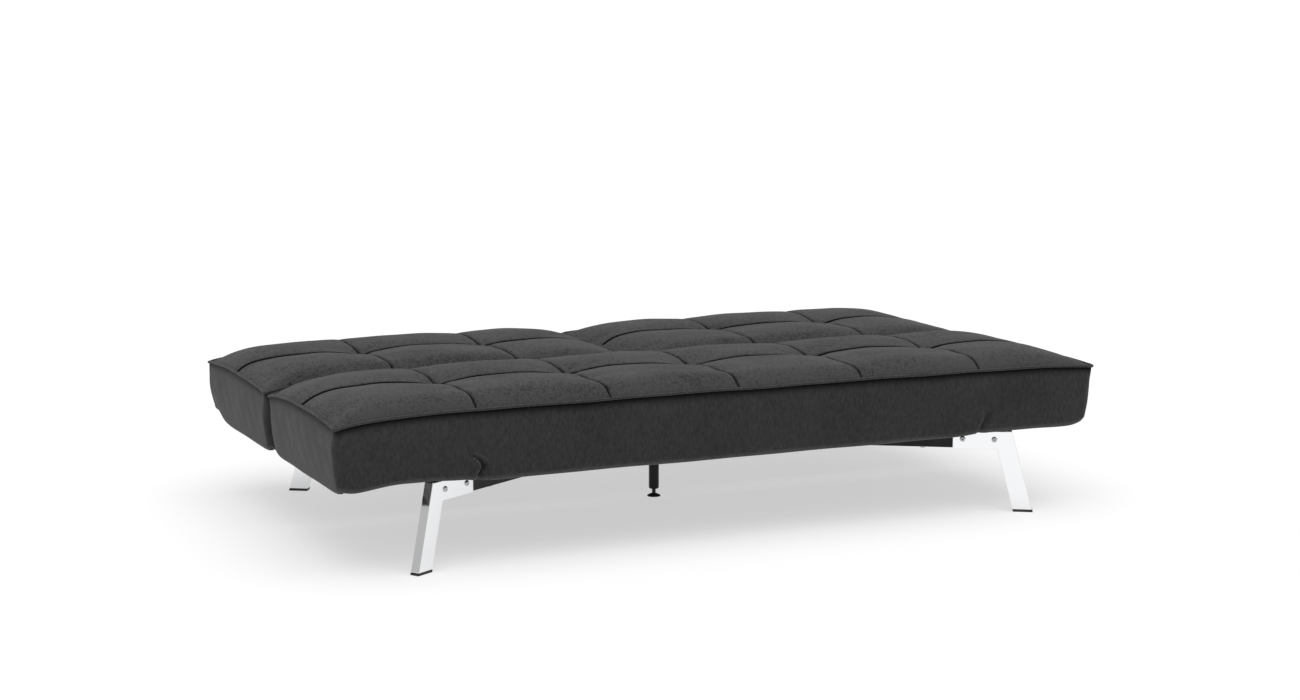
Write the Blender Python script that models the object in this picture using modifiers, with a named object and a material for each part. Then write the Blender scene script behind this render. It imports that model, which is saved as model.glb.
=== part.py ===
"""Futon sofa bed with a split back, shown flat as a bed.

A chrome-legged X-shaped steel base carries a fixed seat.  Two back halves turn about hinges that
stand in the gap behind the seat, the outer hinge of each half with a ratchet and pawl.

Metres, +Z up.  +X is to the right of someone facing the seat's front, which looks along -Y.
The origin is on the floor, under the middle of the whole bed.
"""

import math

import bmesh
import bpy
from mathutils import Matrix

# ---------------------------------------------------------------- driving dimensions
WIDTH = 1.680  # the whole bed, end to end
SEAT_DEPTH = 0.458
BACK_DEPTH = 0.467
HINGE_GAP = 0.030  # between the seat and the back, where the hinges stand
SPLIT_GAP = 0.012  # between the two back halves
CUSHION_BOTTOM = 0.174
CUSHION_EDGE = 0.302  # height of the sewn top edge
CUSHION_CROWN = 0.333  # height of the crown over the middle
CROWN_STEPS = ((0.012, 0.40), (0.050, 0.85), (0.110, 1.0))  # inset from the edge, share of the rise
CORNER_RADIUS = 0.030
COVER_THICKNESS = 0.003
CLEARANCE = 0.0003  # between pieces that touch

PIVOT_HEIGHT = 0.295

FOOT_X = 0.693  # from the base's centre to the outer end of a foot
FOOT_Y = 0.430
FOOT_LEAD = 0.0105  # the front feet stand this far in front of the seat
LEG_WIDTH = 0.040
LEG_THICKNESS = 0.020
LEG_WALL = 0.002
LEG_EDGE = 0.0015  # radius of its rounded edges
LEG_LEAN = math.radians(15.2)
LEG_ARM_LENGTH = 0.172  # from the foot's outer end back to the end of the leg's top arm
FOOT_CAP = 0.005
FOOT_PLUG = 0.024  # how far a foot reaches up inside its leg
TUBE_WALL = 0.0015
TUBE_INSERT = 0.105  # how far a base tube reaches into a leg's arm
HUB_REACH = 0.030  # from the base's centre to the near end of a base tube
HUB_SIZE = (0.130, 0.084, 0.003)
COLLAR_WALL = 0.003
COLLAR_DEPTH = 0.012

BOLT_RADIUS = 0.003
BOLT_HEAD = (0.0057, 0.0032)  # radius and height
BOLT_CLEARANCE = 0.0004
BORE_SIDES = 16
THROUGH = 0.03  # half the length of a tool that bores right through a piece
LEG_BOLTS = (("outer", 0.084), ("inner", 0.151))  # inwards from the foot's outer end
LEG_BOLT_DROP = 0.018  # below the top of the leg's arm
SEAT_BOLT_REACH = 0.235  # inwards from the foot's outer end

CENTER_LEG_RADIUS = 0.011
CENTER_LEG_WALL = 0.0015
CENTER_LEG_END = 0.027  # height of its lower end
LEVELLER_LIFT = 0.010  # the pad stands this far off the floor until it is wound down
PAD_RADIUS = 0.0145
PAD_HEIGHT = 0.006
PAD_NECK = 0.0075
LEVELLER_RADIUS = 0.004
END_PLUG = 0.014  # height of the threaded plug in the centre leg
ROUND_SIDES = 24

RAIL_WIDTH = 0.025
RAIL_HEIGHT = 0.040
RAIL_INSET = 0.022  # from a cushion's side to the rail's outer face
DECK_THICKNESS = 0.009
DUST_COVER_THICKNESS = 0.001

PLATE_THICKNESS = 0.003
PLATE_HEIGHT = 0.030  # of the arm that lies along a rail
PLATE_REACH = 0.080  # how far that arm reaches into its cushion
PLATE_NECK = 0.011  # half the width of the neck that rises in the gap
PLATE_HEAD = 0.012  # radius round the pivot
PLATE_DROP = 0.082  # from the pivot down to the arm
LAYER_CLEARANCE = 0.0005
PIN_RADIUS = 0.004
PIN_HEAD = (0.007, 0.002)
PIN_SIDES = 20
SLOT_CLEARANCE = 0.0015

RATCHET_THICKNESS = 0.004
RATCHET_OUTER = 0.013
RATCHET_ROOT = 0.0105
TOOTH_PITCH = math.radians(16)
TOOTH_COUNT = 6
FIRST_TOOTH = math.radians(-104.5)
PAWL_PIVOT_REACH = 0.022
PAWL_PIVOT_ANGLE = math.radians(-70)
PAWL_TIP_REACH = 0.0138
PAWL_TIP_ANGLE = math.radians(-100)
PAWL_BOSS = 0.0028
PAWL_EYE = 0.0048
PAWL_TIP_WIDTH = 0.0016
PAWL_SIDE_CLEARANCE = 0.0004
TOOTH_DROP = 0.01  # radians between the top and the foot of a drop

# ---------------------------------------------------------------- places worked out from them
FOOT_REACH = math.hypot(FOOT_X, FOOT_Y)
ARM_ANGLE = math.atan2(FOOT_Y, FOOT_X)
TOE = FOOT_LEAD + LEG_THICKNESS / 2 * math.cos(ARM_ANGLE)

DEPTH = TOE + SEAT_DEPTH + HINGE_GAP + BACK_DEPTH
FRONT_Y = TOE - DEPTH / 2
SEAT_REAR_Y = FRONT_Y + SEAT_DEPTH
BACK_FRONT_Y = SEAT_REAR_Y + HINGE_GAP
BACK_REAR_Y = DEPTH / 2
PIVOT_Y = SEAT_REAR_Y + HINGE_GAP / 2
BASE_Y = FRONT_Y - FOOT_LEAD + FOOT_Y
ARM_TOP = CUSHION_BOTTOM - 0.0005
ARM_BOTTOM = ARM_TOP - LEG_WIDTH
SLEEVE_FIT = LEG_WALL + CLEARANCE
TUBE_HEIGHT = LEG_WIDTH - 2 * SLEEVE_FIT
TUBE_THICKNESS = LEG_THICKNESS - 2 * SLEEVE_FIT
TUBE_MIDDLE = (ARM_TOP + ARM_BOTTOM) / 2
ARM_END_REACH = FOOT_REACH - LEG_ARM_LENGTH
TUBE_END_REACH = ARM_END_REACH + TUBE_INSERT

RAIL_BOTTOM = CUSHION_BOTTOM + DUST_COVER_THICKNESS + 2 * CLEARANCE
RAIL_TOP = RAIL_BOTTOM + RAIL_HEIGHT
DECK_BOTTOM = RAIL_TOP + CLEARANCE
DECK_TOP = DECK_BOTTOM + DECK_THICKNESS
PLATE_ARM_TOP = PIVOT_HEIGHT - PLATE_DROP
PLATE_ARM_BOTTOM = PLATE_ARM_TOP - PLATE_HEIGHT

# Where the pieces of a hinge lie along X, counted away from the face of the seat rail.
OUTER_HINGE_X = WIDTH / 2 - RAIL_INSET - RAIL_WIDTH
INNER_HINGE_X = RAIL_WIDTH / 2
SEAT_PLATE_AT = CLEARANCE
RATCHET_AT = SEAT_PLATE_AT + PLATE_THICKNESS


def new_collection(name):
    collection = bpy.data.collections.new(name)
    bpy.context.scene.collection.children.link(collection)
    return collection


def new_material(name, color, roughness, metallic=0.0):
    material = bpy.data.materials.new(name)
    material.use_nodes = True
    shader = material.node_tree.nodes["Principled BSDF"]
    shader.inputs["Base Color"].default_value = (*color, 1)
    shader.inputs["Roughness"].default_value = roughness
    shader.inputs["Metallic"].default_value = metallic
    return material


for old in list(bpy.data.objects):
    bpy.data.objects.remove(old)

PARTS = new_collection("futon_sofa_bed")
CUTTERS = new_collection("cutters")

CHROME = new_material("chrome", (0.80, 0.80, 0.81), 0.08, 1.0)
BLACK_STEEL = new_material("black_steel", (0.018, 0.018, 0.019), 0.45, 0.6)
ZINC_STEEL = new_material("zinc_steel", (0.55, 0.56, 0.58), 0.35, 1.0)
BLACK_PLASTIC = new_material("black_plastic", (0.02, 0.02, 0.02), 0.55)
CHARCOAL_FABRIC = new_material("charcoal_fabric", (0.055, 0.057, 0.06), 0.95)
DUST_FABRIC = new_material("dust_fabric", (0.015, 0.015, 0.016), 0.9)
FOAM = new_material("foam", (0.78, 0.74, 0.60), 0.9)
TIMBER = new_material("timber", (0.52, 0.38, 0.22), 0.7)
PLYWOOD = new_material("plywood", (0.60, 0.45, 0.28), 0.7)


# ---------------------------------------------------------------- making and placing pieces
def empty(name, location=(0, 0, 0), turn_z=0.0):
    """A place that pieces hang on: an axis of turning, or one corner of the base."""
    place = bpy.data.objects.new(name, None)
    place.location = location
    place.rotation_euler = (0, 0, turn_z)
    PARTS.objects.link(place)
    return place


def piece(name, mesh, material, parent=None, location=(0, 0, 0), rotation=(0, 0, 0)):
    obj = bpy.data.objects.new(name, mesh)
    obj.data.materials.append(material)
    obj.parent = parent
    obj.location = location
    obj.rotation_euler = rotation
    PARTS.objects.link(obj)
    return obj


def combine(part, other, operation):
    """Cuts the other shape from the part, or joins it on.  The other shape moves to the cutters."""
    for collection in list(other.users_collection):
        collection.objects.unlink(other)
    CUTTERS.objects.link(other)
    other.hide_render = True
    other.display_type = "WIRE"
    other.parent = part
    modifier = part.modifiers.new(f"{operation.lower()} {other.name}", "BOOLEAN")
    modifier.operation = operation
    modifier.solver = "EXACT"
    modifier.object = other


def cut(part, mesh, location=(0, 0, 0), rotation=(0, 0, 0)):
    cutter = bpy.data.objects.new(f"cutter {part.name}", mesh)
    cutter.location = location
    cutter.rotation_euler = rotation
    combine(part, cutter, "DIFFERENCE")


def join(part, mesh, location=(0, 0, 0), rotation=(0, 0, 0)):
    added = bpy.data.objects.new(f"added {part.name}", mesh)
    added.location = location
    added.rotation_euler = rotation
    combine(part, added, "UNION")


def round_edges(part, width, segments=2):
    bevel = part.modifiers.new("rounded edges", "BEVEL")
    bevel.width = width
    bevel.segments = segments
    bevel.limit_method = "ANGLE"
    bevel.angle_limit = math.radians(40)


# ---------------------------------------------------------------- shapes
def mesh_of(bm, name):
    mesh = bpy.data.meshes.new(name)
    bm.to_mesh(mesh)
    bm.free()
    return mesh


def box(low, high, name="box"):
    """A box from its lowest corner to its highest."""
    bm = bmesh.new()
    bmesh.ops.create_cube(bm, size=1)
    size = [b - a for a, b in zip(low, high)]
    middle = [(a + b) / 2 for a, b in zip(low, high)]
    bmesh.ops.scale(bm, vec=size, verts=bm.verts)
    bmesh.ops.translate(bm, vec=middle, verts=bm.verts)
    return mesh_of(bm, name)


def round_bar(radius, start, end, sides=BORE_SIDES, name="round_bar"):
    """A closed cylinder along Z from start to end."""
    bm = bmesh.new()
    sizes = {"radius1": radius, "radius2": radius, "depth": end - start}
    bmesh.ops.create_cone(bm, cap_ends=True, segments=sides, **sizes)
    bmesh.ops.translate(bm, vec=(0, 0, (start + end) / 2), verts=bm.verts)
    return mesh_of(bm, name)


def polar(radius, angle):
    return radius * math.cos(angle), radius * math.sin(angle)


def arc(center, radius, start, end, steps):
    """Points round a centre from one angle to another, both ends included."""
    return [
        (
            center[0] + radius * math.cos(start + (end - start) * i / steps),
            center[1] + radius * math.sin(start + (end - start) * i / steps),
        )
        for i in range(steps + 1)
    ]


def flat(outline, thickness, name="flat"):
    """A flat piece: its outline in X and Z, its thickness centred on Y."""
    curve = bpy.data.curves.new(name, "CURVE")
    curve.dimensions = "2D"
    curve.fill_mode = "BOTH"
    curve.extrude = thickness / 2
    spline = curve.splines.new("POLY")
    spline.points.add(len(outline) - 1)
    for point, (across, up) in zip(spline.points, outline):
        point.co = (across, up, 0, 1)
    spline.use_cyclic_u = True
    holder = bpy.data.objects.new(name, curve)
    CUTTERS.objects.link(holder)
    evaluated = holder.evaluated_get(bpy.context.evaluated_depsgraph_get())
    mesh = bpy.data.meshes.new_from_object(evaluated)
    bpy.data.objects.remove(holder)
    bm = bmesh.new()
    bm.from_mesh(mesh)
    bmesh.ops.remove_doubles(bm, verts=bm.verts, dist=1e-5)
    bmesh.ops.rotate(bm, cent=(0, 0, 0), matrix=Matrix.Rotation(math.pi / 2, 3, "X"), verts=bm.verts)
    bm.to_mesh(mesh)
    bm.free()
    return mesh


def turned(name, profile, sides, material, parent=None, location=(0, 0, 0), rotation=(0, 0, 0)):
    """A piece turned about Z.  The profile gives radius and height, from the top down its outer side.

    A profile that starts on the axis also ends on it, and any other closes on itself.
    """
    count = len(profile)
    edges = [(i, (i + 1) % count) for i in range(count)]
    if profile[0][0] == 0:
        edges.pop()
    mesh = bpy.data.meshes.new(name)
    mesh.from_pydata([(radius, 0, height) for radius, height in profile], edges, [])
    part = piece(name, mesh, material, parent, location, rotation)
    modifier = part.modifiers.new("turned", "SCREW")
    modifier.steps = sides
    modifier.render_steps = sides
    modifier.use_merge_vertices = True
    modifier.merge_threshold = 0.00001
    return part


def cushion_form(low, high, edge, crown, radius, open_below, name="cushion"):
    """A cushion's outer form: upright sides with round corners, then a top that rises to a crown.

    low and high are its corners in X and Y with its bottom's height, edge and crown the heights of
    the top's outer edge and of its middle.
    """
    bm = bmesh.new()
    bmesh.ops.create_cube(bm, size=1)
    half = ((high[0] - low[0]) / 2, (high[1] - low[1]) / 2, (edge - low[2]) / 2)
    bmesh.ops.scale(bm, vec=[2 * length for length in half], verts=bm.verts)
    uprights = [e for e in bm.edges if abs(e.verts[0].co.z - e.verts[1].co.z) > half[2]]
    bmesh.ops.bevel(bm, geom=uprights, offset=radius, segments=4, profile=0.5, affect="EDGES")
    bm.normal_update()
    top = next(face for face in bm.faces if face.normal.z > 0.9)
    inset, share = 0, 0
    for next_inset, next_share in CROWN_STEPS:
        top = bmesh.ops.extrude_discrete_faces(bm, faces=[top])["faces"][0]
        shrink = [(length - next_inset) / (length - inset) for length in half[:2]]
        bmesh.ops.scale(bm, vec=(*shrink, 1), verts=top.verts)
        bmesh.ops.translate(bm, vec=(0, 0, (next_share - share) * (crown - edge)), verts=top.verts)
        inset, share = next_inset, next_share
    if open_below:
        bm.normal_update()
        bottom = next(face for face in bm.faces if face.normal.z < -0.9)
        bmesh.ops.delete(bm, geom=[bottom], context="FACES_ONLY")
    middle = ((low[0] + high[0]) / 2, (low[1] + high[1]) / 2, (low[2] + edge) / 2)
    bmesh.ops.translate(bm, vec=middle, verts=bm.verts)
    return mesh_of(bm, name)


# ---------------------------------------------------------------- the base
def leg_outer(height):
    """How far out the leg's outer face is at a height, along the base's diagonal."""
    return FOOT_REACH - height * math.tan(LEG_LEAN)


def leg_inner(height):
    return leg_outer(height) - LEG_WIDTH / math.cos(LEG_LEAN)


def make_leg(name, corner):
    """A leg and its top arm, welded from one flat-sided tube, open at the arm's end and at the foot."""
    outline = [
        (leg_outer(FOOT_CAP), FOOT_CAP),
        (leg_outer(ARM_TOP), ARM_TOP),
        (ARM_END_REACH, ARM_TOP),
        (ARM_END_REACH, ARM_BOTTOM),
        (leg_inner(ARM_BOTTOM), ARM_BOTTOM),
        (leg_inner(FOOT_CAP), FOOT_CAP),
    ]
    leg = piece(f"leg_{name}", flat(outline, LEG_THICKNESS), CHROME, corner)
    round_edges(leg, LEG_EDGE)
    half = LEG_THICKNESS / 2 - LEG_WALL
    cut(
        leg,
        box(
            (ARM_END_REACH - 0.01, -half, ARM_BOTTOM + LEG_WALL),
            (TUBE_END_REACH + 0.002, half, ARM_TOP - LEG_WALL),
        ),
    )
    wall = LEG_WALL / math.cos(LEG_LEAN)
    below = -0.01
    above = FOOT_CAP + FOOT_PLUG + 0.002
    pocket = [
        (leg_outer(below) - wall, below),
        (leg_outer(above) - wall, above),
        (leg_inner(above) + wall, above),
        (leg_inner(below) + wall, below),
    ]
    cut(leg, flat(pocket, 2 * half))
    return leg


def make_foot(name, corner):
    """A plastic foot: a sole the size of the leg, and a plug that fits up inside it."""
    top = FOOT_CAP - CLEARANCE
    sole = [(leg_outer(0), 0), (leg_outer(top), top), (leg_inner(top), top), (leg_inner(0), 0)]
    foot = piece(f"leg_foot_{name}", flat(sole, LEG_THICKNESS), BLACK_PLASTIC, corner)
    wall = SLEEVE_FIT / math.cos(LEG_LEAN)
    root = FOOT_CAP / 2
    plug_top = FOOT_CAP + FOOT_PLUG
    plug = [
        (leg_outer(root) - wall, root),
        (leg_outer(plug_top) - wall, plug_top),
        (leg_inner(plug_top) + wall, plug_top),
        (leg_inner(root) + wall, root),
    ]
    join(foot, flat(plug, TUBE_THICKNESS))


def make_base_tube(name, corner):
    """A black flat-sided tube from the hub out into a leg's arm."""
    low = (HUB_REACH, -TUBE_THICKNESS / 2, TUBE_MIDDLE - TUBE_HEIGHT / 2)
    high = (TUBE_END_REACH, TUBE_THICKNESS / 2, TUBE_MIDDLE + TUBE_HEIGHT / 2)
    tube = piece(f"base_tube_{name}", box(low, high), BLACK_STEEL, corner)
    cut(
        tube,
        box(
            (low[0] - 0.01, low[1] + TUBE_WALL, low[2] + TUBE_WALL),
            (high[0] + 0.01, high[1] - TUBE_WALL, high[2] - TUBE_WALL),
        ),
    )
    return tube


def make_leg_bolt(name, corner, along, head_side, leg, tube):
    """A bolt through a leg's arm and the tube inside it, with its nut on the far side."""
    where = (FOOT_REACH - along, 0, ARM_TOP - LEG_BOLT_DROP)
    face = LEG_THICKNESS / 2 + CLEARANCE
    radius, height = BOLT_HEAD
    profile = [
        (0, face + height),
        (0.55 * radius, face + height),
        (radius, face + 0.4 * height),
        (radius, face),
        (BOLT_RADIUS, face),
        (BOLT_RADIUS, -face),
        (0.9 * radius, -face),
        (0.9 * radius, -face - height),
        (0, -face - height),
    ]
    turn = (-head_side * math.pi / 2, 0, 0)
    turned(f"leg_bolt_{name}", profile, BORE_SIDES, ZINC_STEEL, corner, where, turn)
    hole = BOLT_RADIUS + BOLT_CLEARANCE
    for part in (leg, tube):
        cut(part, round_bar(hole, -THROUGH, THROUGH), where, (math.pi / 2, 0, 0))


def make_seat_bolt(name, corner, tube):
    """A long bolt from under a base tube up to the seat's deck."""
    where = (FOOT_REACH - SEAT_BOLT_REACH, 0, 0)
    under = TUBE_MIDDLE - TUBE_HEIGHT / 2 - CLEARANCE
    radius, height = BOLT_HEAD
    profile = [
        (0, DECK_TOP - 0.001),
        (BOLT_RADIUS, DECK_TOP - 0.001),
        (BOLT_RADIUS, under),
        (radius, under),
        (radius, under - 0.6 * height),
        (0.55 * radius, under - height),
        (0, under - height),
    ]
    turned(f"seat_bolt_{name}", profile, BORE_SIDES, ZINC_STEEL, corner, where)
    cut(tube, round_bar(BOLT_RADIUS + BOLT_CLEARANCE, under - THROUGH, under + 2 * THROUGH), where)


CORNERS = {  # name: which way it lies in X and Y, and which of its faces a bolt's head is on
    "front_left": (-1, -1, 1),
    "front_right": (1, -1, -1),
    "rear_left": (-1, 1, -1),
    "rear_right": (1, 1, 1),
}


def make_base():
    for name, (side_x, side_y, head_side) in CORNERS.items():
        turn = math.atan2(side_y * math.sin(ARM_ANGLE), side_x * math.cos(ARM_ANGLE))
        corner = empty(f"corner {name}", (0, BASE_Y, 0), turn)
        leg = make_leg(name, corner)
        make_foot(name, corner)
        tube = make_base_tube(name, corner)
        for bolt, along in LEG_BOLTS:
            make_leg_bolt(f"{bolt}_{name}", corner, along, head_side, leg, tube)
        if side_y < 0:
            make_seat_bolt("left" if side_x < 0 else "right", corner, tube)


def make_hub():
    """The plate that the four base tubes are welded on, with the collar that holds the centre leg."""
    top = TUBE_MIDDLE - TUBE_HEIGHT / 2 - CLEARANCE
    width, depth, thickness = HUB_SIZE
    hub = piece(
        "base_hub_plate",
        box((-width / 2, -depth / 2, top - thickness), (width / 2, depth / 2, top)),
        BLACK_STEEL,
        location=(0, BASE_Y, 0),
    )
    collar = CENTER_LEG_RADIUS + CLEARANCE
    foot = top - thickness - COLLAR_DEPTH
    join(hub, round_bar(collar + COLLAR_WALL, foot, top - thickness / 2, ROUND_SIDES))
    cut(hub, round_bar(collar, foot - THROUGH, top - thickness - CLEARANCE, ROUND_SIDES))
    return top - thickness - CLEARANCE


def make_center_leg(top):
    """A round tube with a threaded end plug, and the levelling foot that screws into it."""
    bore = CENTER_LEG_RADIUS - CENTER_LEG_WALL
    thread = LEVELLER_RADIUS + BOLT_CLEARANCE
    plug_top = CENTER_LEG_END + END_PLUG
    tube = [
        (bore, top - CLEARANCE),
        (CENTER_LEG_RADIUS, top - CLEARANCE),
        (CENTER_LEG_RADIUS, CENTER_LEG_END + 0.002),
        (CENTER_LEG_RADIUS - 0.0015, CENTER_LEG_END),
        (thread, CENTER_LEG_END),
        (thread, plug_top),
        (bore, plug_top),
    ]
    turned("center_leg", tube, ROUND_SIDES, BLACK_STEEL, location=(0, BASE_Y, 0))
    pad_top = LEVELLER_LIFT + PAD_HEIGHT
    foot = [
        (0, plug_top - 0.002),
        (LEVELLER_RADIUS, plug_top - 0.002),
        (LEVELLER_RADIUS, pad_top + 0.0005),
        (PAD_NECK, pad_top - 0.0005),
        (PAD_RADIUS - 0.001, pad_top - 0.0035),
        (PAD_RADIUS, pad_top - 0.0045),
        (PAD_RADIUS, LEVELLER_LIFT),
        (0, LEVELLER_LIFT),
    ]
    turned("center_leveller", foot, ROUND_SIDES, BLACK_PLASTIC, location=(0, BASE_Y, 0))


# ---------------------------------------------------------------- cushions
def make_cushion(name, low_x, high_x, low_y, high_y, parent, offset):
    """A foam block over a hollow for its frame, and the fabric cover round it.

    Returns both, so that slots can be cut through them.
    """
    corner_low = (low_x - offset[0], low_y - offset[1], CUSHION_BOTTOM - offset[2])
    corner_high = (high_x - offset[0], high_y - offset[1])
    edge = CUSHION_EDGE - offset[2]
    crown = CUSHION_CROWN - offset[2]
    cover = piece(
        f"{name}_cover",
        cushion_form(corner_low, corner_high, edge, crown, CORNER_RADIUS, True),
        CHARCOAL_FABRIC,
        parent,
    )
    thickness = cover.modifiers.new("cloth", "SOLIDIFY")
    thickness.thickness = COVER_THICKNESS
    thickness.offset = -1
    thickness.use_even_offset = True
    gap = COVER_THICKNESS + 2 * CLEARANCE
    foam_low = (corner_low[0] + gap, corner_low[1] + gap, RAIL_BOTTOM - offset[2])
    foam_high = (corner_high[0] - gap, corner_high[1] - gap)
    foam = piece(
        f"{name}_foam",
        cushion_form(foam_low, foam_high, edge - gap, crown - gap, CORNER_RADIUS - gap, False),
        FOAM,
        parent,
    )
    return cover, foam


def hollow_foam(foam, low_x, high_x, low_y, high_y, offset):
    """Cuts the hollow for the frame and its deck into the underside of a foam block."""
    low = (low_x - CLEARANCE - offset[0], low_y - CLEARANCE - offset[1], -offset[2])
    top = DECK_TOP + CLEARANCE - offset[2]
    cut(foam, box(low, (high_x + CLEARANCE - offset[0], high_y + CLEARANCE - offset[1], top)))


def make_dust_cover(name, low_x, high_x, low_y, high_y, parent, offset):
    """The black cloth stapled under a frame."""
    inset = COVER_THICKNESS + CLEARANCE
    bottom = CUSHION_BOTTOM + CLEARANCE - offset[2]
    low = (low_x + inset - offset[0], low_y + inset - offset[1], bottom)
    high = (high_x - inset - offset[0], high_y - inset - offset[1], bottom + DUST_COVER_THICKNESS)
    cloth = piece(f"{name}_dust_cover", box(low, high), DUST_FABRIC, parent)
    uprights = cloth.modifiers.new("round corners", "BEVEL")
    uprights.width = CORNER_RADIUS - inset
    uprights.segments = 4
    uprights.limit_method = "WEIGHT"
    weights = cloth.data.attributes.new("bevel_weight_edge", "FLOAT", "EDGE")
    for edge, weight in zip(cloth.data.edges, weights.data):
        a, b = (cloth.data.vertices[i].co for i in edge.vertices)
        weight.value = float(abs(a.z - b.z) > DUST_COVER_THICKNESS / 2)
    return cloth


def rail(name, low_x, high_x, low_y, high_y, parent=None, offset=(0, 0, 0)):
    low = (low_x - offset[0], low_y - offset[1], RAIL_BOTTOM - offset[2])
    high = (high_x - offset[0], high_y - offset[1], RAIL_TOP - offset[2])
    return piece(name, box(low, high), TIMBER, parent)


def deck(name, low_x, high_x, low_y, high_y, parent=None, offset=(0, 0, 0)):
    low = (low_x - offset[0], low_y - offset[1], DECK_BOTTOM - offset[2])
    high = (high_x - offset[0], high_y - offset[1], DECK_TOP - offset[2])
    return piece(name, box(low, high), PLYWOOD, parent)


def make_seat():
    """The fixed seat: five timber rails, a plywood deck, foam, cover and dust cover.

    Returns what the hinge plates pass through.
    """
    here = (0, 0, 0)
    half = WIDTH / 2
    outer = half - RAIL_INSET
    inner = outer - RAIL_WIDTH
    front = FRONT_Y + RAIL_INSET
    rear = SEAT_REAR_Y - RAIL_INSET
    rail("seat_rail_front", -outer, outer, front, front + RAIL_WIDTH)
    rear_rail = rail("seat_rail_rear", -outer, outer, rear - RAIL_WIDTH, rear)
    start = front + RAIL_WIDTH + CLEARANCE
    end = rear - RAIL_WIDTH - CLEARANCE
    rail("seat_rail_left", -outer, -inner, start, end)
    rail("seat_rail_right", inner, outer, start, end)
    rail("seat_rail_center", -RAIL_WIDTH / 2, RAIL_WIDTH / 2, start, end)
    board = deck("seat_deck", -outer, outer, front, rear)
    cover, foam = make_cushion("seat", -half, half, FRONT_Y, SEAT_REAR_Y, None, here)
    hollow_foam(foam, -outer, outer, front, rear, here)
    cloth = make_dust_cover("seat", -half, half, FRONT_Y, SEAT_REAR_Y, None, here)
    reach = FOOT_REACH - SEAT_BOLT_REACH
    for side in (-1, 1):
        where = (side * reach * math.cos(ARM_ANGLE), BASE_Y - reach * math.sin(ARM_ANGLE), 0)
        for part in (board, cloth):
            cut(part, round_bar(BOLT_RADIUS + BOLT_CLEARANCE, 0, PIVOT_HEIGHT), where)
    return cover, foam, rear_rail


def make_back(name, side, axis):
    """One half of the back, hung on the empty that stands on its hinge axis."""
    offset = tuple(axis.location)
    near = SPLIT_GAP / 2
    far = WIDTH / 2
    low_x, high_x = sorted((side * near, side * far))
    plate_stack = PLATE_THICKNESS * 2 + CLEARANCE * 2 + LAYER_CLEARANCE
    inner_rail = INNER_HINGE_X + plate_stack
    outer_rail = OUTER_HINGE_X - plate_stack - RATCHET_THICKNESS
    front = BACK_FRONT_Y + RAIL_INSET
    rear = BACK_REAR_Y - RAIL_INSET
    for which, x0, x1 in (
        ("inner", inner_rail, inner_rail + RAIL_WIDTH),
        ("outer", outer_rail - RAIL_WIDTH, outer_rail),
    ):
        a, b = sorted((side * x0, side * x1))
        rail(f"back_{name}_rail_{which}", a, b, front, rear, axis, offset)
    deck_low, deck_high = sorted((side * inner_rail, side * (far - RAIL_INSET)))
    deck(f"back_{name}_deck", deck_low, deck_high, front, rear, axis, offset)
    cover, foam = make_cushion(f"back_{name}", low_x, high_x, BACK_FRONT_Y, BACK_REAR_Y, axis, offset)
    hollow_foam(foam, deck_low, deck_high, front, rear, offset)
    make_dust_cover(f"back_{name}", low_x, high_x, BACK_FRONT_Y, BACK_REAR_Y, axis, offset)
    return cover, foam


# ---------------------------------------------------------------- hinges
def plate_outline(toward):
    """A hinge plate seen along X, about its pivot.  Its arm reaches towards -Y or +Y at its foot."""
    gap_side = HINGE_GAP / 2 + PLATE_REACH
    top = -PLATE_DROP
    bottom = -PLATE_DROP - PLATE_HEIGHT
    shoulder = math.sqrt(PLATE_HEAD**2 - PLATE_NECK**2)
    start = math.atan2(-shoulder, PLATE_NECK)
    head = arc((0, 0), PLATE_HEAD, start, math.pi - start, 14)
    outline = [
        (gap_side, bottom),
        (gap_side, top),
        (PLATE_NECK, top),
        *head,
        (-PLATE_NECK, bottom),
    ]
    return [(toward * across, up) for across, up in outline]


def ratchet_outline():
    """Saw teeth on a disc: each drops at its angle, then ramps back up to the next."""
    points = []
    for tooth in range(TOOTH_COUNT):
        drop = FIRST_TOOTH + tooth * TOOTH_PITCH
        points += [polar(RATCHET_OUTER, drop), polar(RATCHET_ROOT, drop + TOOTH_DROP)]
    end = FIRST_TOOTH + TOOTH_COUNT * TOOTH_PITCH
    return points + arc((0, 0), RATCHET_OUTER, end, FIRST_TOOTH + 2 * math.pi - 0.2, 14)


def pawl_outline():
    """A finger from an eye on its own pivot to a narrow tip, about that pivot."""
    pivot = polar(PAWL_PIVOT_REACH, PAWL_PIVOT_ANGLE)
    tip = polar(PAWL_TIP_REACH, PAWL_TIP_ANGLE)
    reach = (tip[0] - pivot[0], tip[1] - pivot[1])
    heading = math.atan2(reach[1], reach[0])
    length = math.hypot(*reach)
    eye = arc((0, 0), PAWL_EYE, heading + math.radians(50), heading + math.radians(310), 12)
    across = (-math.sin(heading) * PAWL_TIP_WIDTH / 2, math.cos(heading) * PAWL_TIP_WIDTH / 2)
    end = (math.cos(heading) * length, math.sin(heading) * length)
    return [*eye, (end[0] - across[0], end[1] - across[1]), (end[0] + across[0], end[1] + across[1])]


def across_x(outline, thickness):
    """A flat piece whose outline lies in Y and Z and whose thickness is centred on X."""
    mesh = flat(outline, thickness)
    mesh.transform(Matrix.Rotation(math.pi / 2, 4, "Z"))
    return mesh


def plate_slot(side, near, low_y, high_y, offset):
    """The slot that a hinge plate's arm passes through a cushion in."""
    far = near + PLATE_THICKNESS
    a, b = sorted((side * (near - SLOT_CLEARANCE), side * (far + SLOT_CLEARANCE)))
    return box(
        (a - offset[0], low_y - offset[1], PLATE_ARM_BOTTOM - SLOT_CLEARANCE - offset[2]),
        (b - offset[0], high_y - offset[1], PLATE_ARM_TOP + SLOT_CLEARANCE - offset[2]),
    )


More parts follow.
